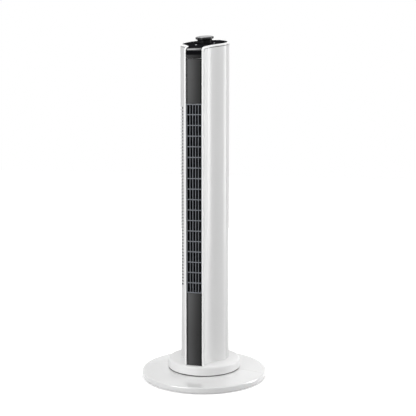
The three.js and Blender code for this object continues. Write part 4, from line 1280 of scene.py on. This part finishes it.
def grille_rib(width):
    """One upright rib at x = 0, with its nose on the band's front line."""
    half = width / 2
    front = BAND_EDGE_Y - sizes().bulge / MM
    nose = arc(0, half, half, 200, 340, 6)
    nose = [(x, max(front + 0.35 + y, front + 0.2)) for x, y in nose]
    outline = [*nose, (half, BAND_EDGE_Y + RIB_DEPTH), (-half, BAND_EDGE_Y + RIB_DEPTH)]
    return prism("grille_rib", outline, GRILLE[0] + 0.5, GRILLE[1] - 0.5, BAND_SMOOTH)


def grille_surround():
    """The frame round the outlet's cells: two bowed ends and two side strips."""
    low, high = GRILLE
    front = BAND_EDGE_Y + 0.1
    sides = [
        slab("side", x, x + FRAME_SIDE, front, BAND_BACK_Y, low + 0.3, high - 0.3)
        for x in (-BAND_HALF, BAND_HALF - FRAME_SIDE)
    ]
    foot = bowed_strip("grille_foot", low, low + FRAME_END)
    return [foot, bowed_strip("grille_head", high - FRAME_END, high), *sides]


class FAN_OT_outlet_grille(bpy.types.Operator):
    """Builds the outlet: level bars over upright ribs, in a slim frame"""

    bl_idname = "fan.outlet_grille"
    bl_label = "Outlet Grille"

    def execute(self, context):
        s = sizes()
        pitch = (OUTLET[1] - OUTLET[0]) / (s.bars + 1)
        bars = repeated(
            "outlet_bars", grille_bar(s.bar_height / MM), stack_tree(), "grille_black",
            Count=s.bars,
            Start=Vector((0, 0, OUTLET[0] + pitch)) * MM,
            Step=Vector((0, 0, pitch)) * MM,
        )
        ribs = repeated(
            "outlet_ribs", grille_rib(s.rib_width / MM), bowed_row_tree(), "grille_black",
            Count=s.ribs, Pitch=s.rib_pitch, Half=BAND_HALF * MM, Bulge=s.bulge,
        )
        mesh = joined("outlet_louvre", [bars, ribs, *grille_surround()], BAND_SMOOTH)
        piece(mesh, "grille_black", "column", ["outlet_grille"])
        return {"FINISHED"}


# ---- Top panel and knob ----


def panel_outline(inset):
    """The top panel's outline, anticlockwise, with its tongue between the lips."""
    wing_steps, rear_steps = PANEL_STEPS
    right = [p + inward * inset for p, inward in wing_curve(SEAM_Y, wing_steps)]
    side = [Vector((BAND_HALF, BACKING[0])), *right]
    rear = []
    for i in range(1, rear_steps):
        a = WING_END + (math.pi - 2 * WING_END) * i / rear_steps
        rear.append(Vector(rear_point(a, REAR_RADIUS - inset)))
    return [*side, *rear, *[Vector((-p.x, p.y)) for p in reversed(side)]]


class FAN_OT_top_panel(bpy.types.Operator):
    """Builds the sloped black panel inside the rim"""

    bl_idname = "fan.top_panel"
    bl_label = "Top Panel"

    def execute(self, context):
        outline = panel_outline(LIP_WIDTH + SEAT_GAP)
        rings = []
        for drop, pull in PANEL_LEVELS:
            ring = [p - p.normalized() * pull for p in outline]
            rings.append([(p.x, p.y, top_height(p.y, PANEL_RECESS + drop)) for p in ring])
        mesh = swept("control_panel", rings)
        piece(mesh, "panel_gloss", "column", ["top_panel"])
        return {"FINISHED"}


class FAN_OT_knob(bpy.types.Operator):
    """Turns the mushroom knob and its dished silver cap"""

    bl_idname = "fan.knob"
    bl_label = "Control Knob"

    def execute(self, context):
        s = sizes()
        r, waist, high = s.knob_radius / MM, s.knob_waist / MM, s.knob_height / MM
        cap, low = r - 3.5, high - 0.7
        profile = [  # bore, boss and hollow, then waist, flange and the cap's seat
            (0, 12), (3.3, 12), (3.3, 4.5), (6.5, 4.5), (6.5, 12.5),
            (waist - 2.2, 12.5), (waist - 2.2, 1),
            (waist, 1), (waist, 8.2), *arc(waist + 2.6, 8.2, 2.6, 180, 100, 5),
            (r - 1, 11.0), *arc(r - 1, 12, 1, -60, 0, 4),
            *arc(r - 1.4, high - 1.9, 1.4, 0, 80, 5), (cap + 0.6, high),
            (cap + SEAT_GAP, high - 0.2), (cap + SEAT_GAP, high - 1), (0, high - 1),
        ]
        face = [
            (0, low), (cap, low), (cap, low + 0.6),
            *arc(cap - 0.6, low + 0.6, 0.6, 0, 90, 4), (cap - 1.6, low + 1.1),
            (cap * 0.6, low + 0.85), (cap * 0.3, low + 0.74), (0, low + 0.7),
        ]
        body = turned("knob_body", profile, place=KNOB_FRAME)
        disc = turned("knob_disc", face, place=KNOB_FRAME)
        piece(body, "black_gloss", "knob", ["control_knob"])
        piece(disc, "spun_silver", "knob", ["knob_cap"])
        return {"FINISHED"}


# ---- Impeller ----


def impeller_blade(low, high):
    """One forward-curved blade at the ring's first place, on the X axis."""
    line = [(IMPELLER_RADIUS - depth, lean) for depth, lean in BLADE_LINE]
    sides = []
    for sign in (-1, 1):
        side = []
        for r, lean in line:
            a = math.radians(-lean) + sign * BLADE_THICKNESS / 2 / r
            side.append((r * math.cos(a) - IMPELLER_RADIUS, r * math.sin(a)))
        sides.append(side)
    return prism("blade", [*sides[0], *reversed(sides[1])], low, high)


class FAN_OT_impeller(bpy.types.Operator):
    """Builds the tall impeller: its ring of blades between three discs"""

    bl_idname = "fan.impeller"
    bl_label = "Impeller"

    def execute(self, context):
        low, high = (corner.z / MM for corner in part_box("impeller"))
        radius, disc, (bore, boss) = IMPELLER_RADIUS, IMPELLER_DISC, IMPELLER_HUB
        blades = repeated(
            "impeller_ring",
            impeller_blade(low + disc / 2, high - disc / 2),
            ring_tree(),
            "inner_black",
            Count=sizes().blades, Radius=radius * MM, Start=0.0,
        )
        inner, middle = radius - 12, (low + high - disc) / 2
        ring = [(inner, middle), (radius, middle), (radius, middle + disc),
                (inner, middle + disc)]
        parts = [blades, turned("ring", ring, 64)]
        for z, way in ((low, 1), (high, -1)):
            hub = [(bore, z), (radius, z), (radius, z + way * disc),
                   (boss, z + way * disc), (boss, z + way * 20), (bore, z + way * 20)]
            parts.append(turned("end", hub, 64))
        for part in parts:
            part.transform(Matrix.Translation((0, REAR_CENTRE * MM, 0)))
        mesh = joined("impeller_drum", parts)
        piece(mesh, "inner_black", "impeller", ["impeller"])
        return {"FINISHED"}


# ---- Inner parts ----

INNER_FINISHES = {
    "grey_plastic": "pivot_housing floor_plate lower_bulkhead upper_bulkhead",
    "inner_black": "scroll_wall tongue_wall",
    "dark_plastic": "rotary_switch",
    "acetal": "slide_ring swing_pinion swing_gear_sector pivot_nut run_capacitor",
    "rubber": "cord_bushing top_bushing motor_damper",
    "steel": "swing_motor swing_motor_shaft knob_shaft impeller_pin motor_shaft",
    "zinc": "motor_upper_shell motor_lower_shell switch_nut"
            " base_screw turntable_screw cover_screw",
    "lamination": "motor_stator motor_rotor",
    "board_green": "control_board",
}


class FAN_OT_inner_parts(bpy.types.Operator):
    """Gives every part of the frame that still shows its own finish"""

    bl_idname = "fan.inner_parts"
    bl_label = "Inner Parts"

    def execute(self, context):
        finishes = {
            part: name for name, parts in INNER_FINISHES.items() for part in parts.split()
        }
        for name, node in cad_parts.items():
            if not node.hide_render:
                node.data.materials.clear()
                kind = name.rstrip("_0123456789")
                node.data.materials.append(finish(finishes[kind]))
        return {"FINISHED"}


# ---- Stage ----


def lamp(name, size, place, aim, hidden_from=()):
    """A soft lamp whose power is the studio's setting of that name."""
    light = bpy.data.lights.new(name, "AREA")
    light.shape = "RECTANGLE"
    light.size, light.size_y = size
    light.energy = getattr(studio(), name)
    shown = bpy.data.objects.new(name, light)
    shown.location = place
    way = Vector(aim) - Vector(place)
    shown.rotation_euler = way.to_track_quat("-Z", "Y").to_euler()
    for ray in hidden_from:
        setattr(shown, f"visible_{ray}", False)
    bpy.context.scene.collection.objects.link(shown)


def seen_rays(tree):
    """1 for the rays of the eye and of reflections."""
    eye, gloss = (
        add_node(tree, "ShaderNodeLightPath", {}, {}, f"Is {kind} Ray")
        for kind in ("Camera", "Glossy")
    )
    return add_node(tree, "ShaderNodeMath", {"operation": "MAXIMUM"}, {0: eye, 1: gloss})


def set_world(strength):
    """White to the eye and in reflections, and a soft plain light otherwise."""
    world = bpy.data.worlds.new("white_surround")
    bpy.context.scene.world = world
    world.use_nodes = True
    tree = world.node_tree
    tree.nodes.clear()
    soft, white = (
        add_node(tree, "ShaderNodeBackground", {}, {"Color": (level, level, level)})
        for level in (strength, 1)
    )
    inputs = {0: seen_rays(tree), 1: soft, 2: white}
    mix = add_node(tree, "ShaderNodeMixShader", {}, inputs)
    tree.links.new(mix, tree.nodes.new("ShaderNodeOutputWorld").inputs[0])


def floor_finish():
    """Pale floor: white to the eye with soft shadows, and dimmer in reflections."""
    f = Finish("floor_white", specular_ior_level=0.0, emission_strength=1.0)
    seen = seen_rays(f.tree)
    glow = f.blend(f.ramp(f.length(f.place), *FLOOR_GLOW), (0.34, 0.34, 0.34), (1, 1, 1))
    f.put("Emission Color", f.blend(seen, (0, 0, 0), glow))
    pale = f.blend(f.noise(3), (0.9, 0.9, 0.9), (0.92, 0.92, 0.92))
    return f.made(f.blend(seen, (0.42, 0.42, 0.42), pale), 0.7 + 0.1 * f.noise(8))


class FAN_OT_stage(bpy.types.Operator):
    """Sets the pale floor, the soft lamps and the camera"""

    bl_idname = "fan.stage"
    bl_label = "Stage"

    def execute(self, context):
        scene = context.scene
        mesh = slab("floor", -FLOOR_HALF, FLOOR_HALF, -FLOOR_HALF, FLOOR_HALF, -12, 0)
        mesh.materials.append(floor_finish())
        floor = bpy.data.objects.new("floor", mesh)
        scene.collection.objects.link(floor)
        set_world(studio().sky)
        for name, details in LAMPS.items():
            lamp(name, *details)
        data = bpy.data.cameras.new("camera")
        data.sensor_width = 36
        data.lens = studio().lens
        data.shift_y = CAMERA_SHIFT
        scene.camera = bpy.data.objects.new("camera", data)
        across = CAMERA_DISTANCE * math.sin(CAMERA_AZIMUTH)
        back = -CAMERA_DISTANCE * math.cos(CAMERA_AZIMUTH)
        scene.camera.location = (across, back, CAMERA_HEIGHT)
        turn = CAMERA_AZIMUTH + CAMERA_YAW
        scene.camera.rotation_euler = (math.pi / 2 - CAMERA_PITCH, 0, turn)
        scene.collection.objects.link(scene.camera)
        scene.view_settings.view_transform = "Standard"
        return {"FINISHED"}


# ---- Add-on ----

GROUPS = {"fan_sizes": FanSizes, "fan_colours": FanColours, "fan_studio": FanStudio}
OPERATORS = (
    FAN_OT_front_housing,
    FAN_OT_rear_shell,
    FAN_OT_turntable,
    FAN_OT_base,
    FAN_OT_feet,
    FAN_OT_front_panels,
    FAN_OT_outlet_grille,
    FAN_OT_top_panel,
    FAN_OT_knob,
    FAN_OT_impeller,
    FAN_OT_inner_parts,
    FAN_OT_stage,
)


class FAN_PT_panel(bpy.types.Panel):
    """Lists the fan's settings and builds its pieces"""

    bl_label = "Tower Fan"
    bl_idname = "FAN_PT_panel"
    bl_space_type = "VIEW_3D"
    bl_region_type = "UI"
    bl_category = "Fan"

    def draw(self, context):
        for group in GROUPS:
            settings = getattr(context.scene, group)
            box = self.layout.box()
            for name in settings.__annotations__:
                box.prop(settings, name)
        for operator in OPERATORS:
            self.layout.operator(operator.bl_idname)


CLASSES = (*GROUPS.values(), *OPERATORS, FAN_PT_panel)


def register():
    for cls in CLASSES:
        bpy.utils.register_class(cls)
    for name, group in GROUPS.items():
        setattr(bpy.types.Scene, name, PointerProperty(type=group))


def unregister():
    for name in GROUPS:
        delattr(bpy.types.Scene, name)
    for cls in reversed(CLASSES):
        bpy.utils.unregister_class(cls)


def main():
    register()
    for operator in OPERATORS:
        group, name = operator.bl_idname.split(".")
        getattr(getattr(bpy.ops, group), name)()


if __name__ == "__main__":
    main()
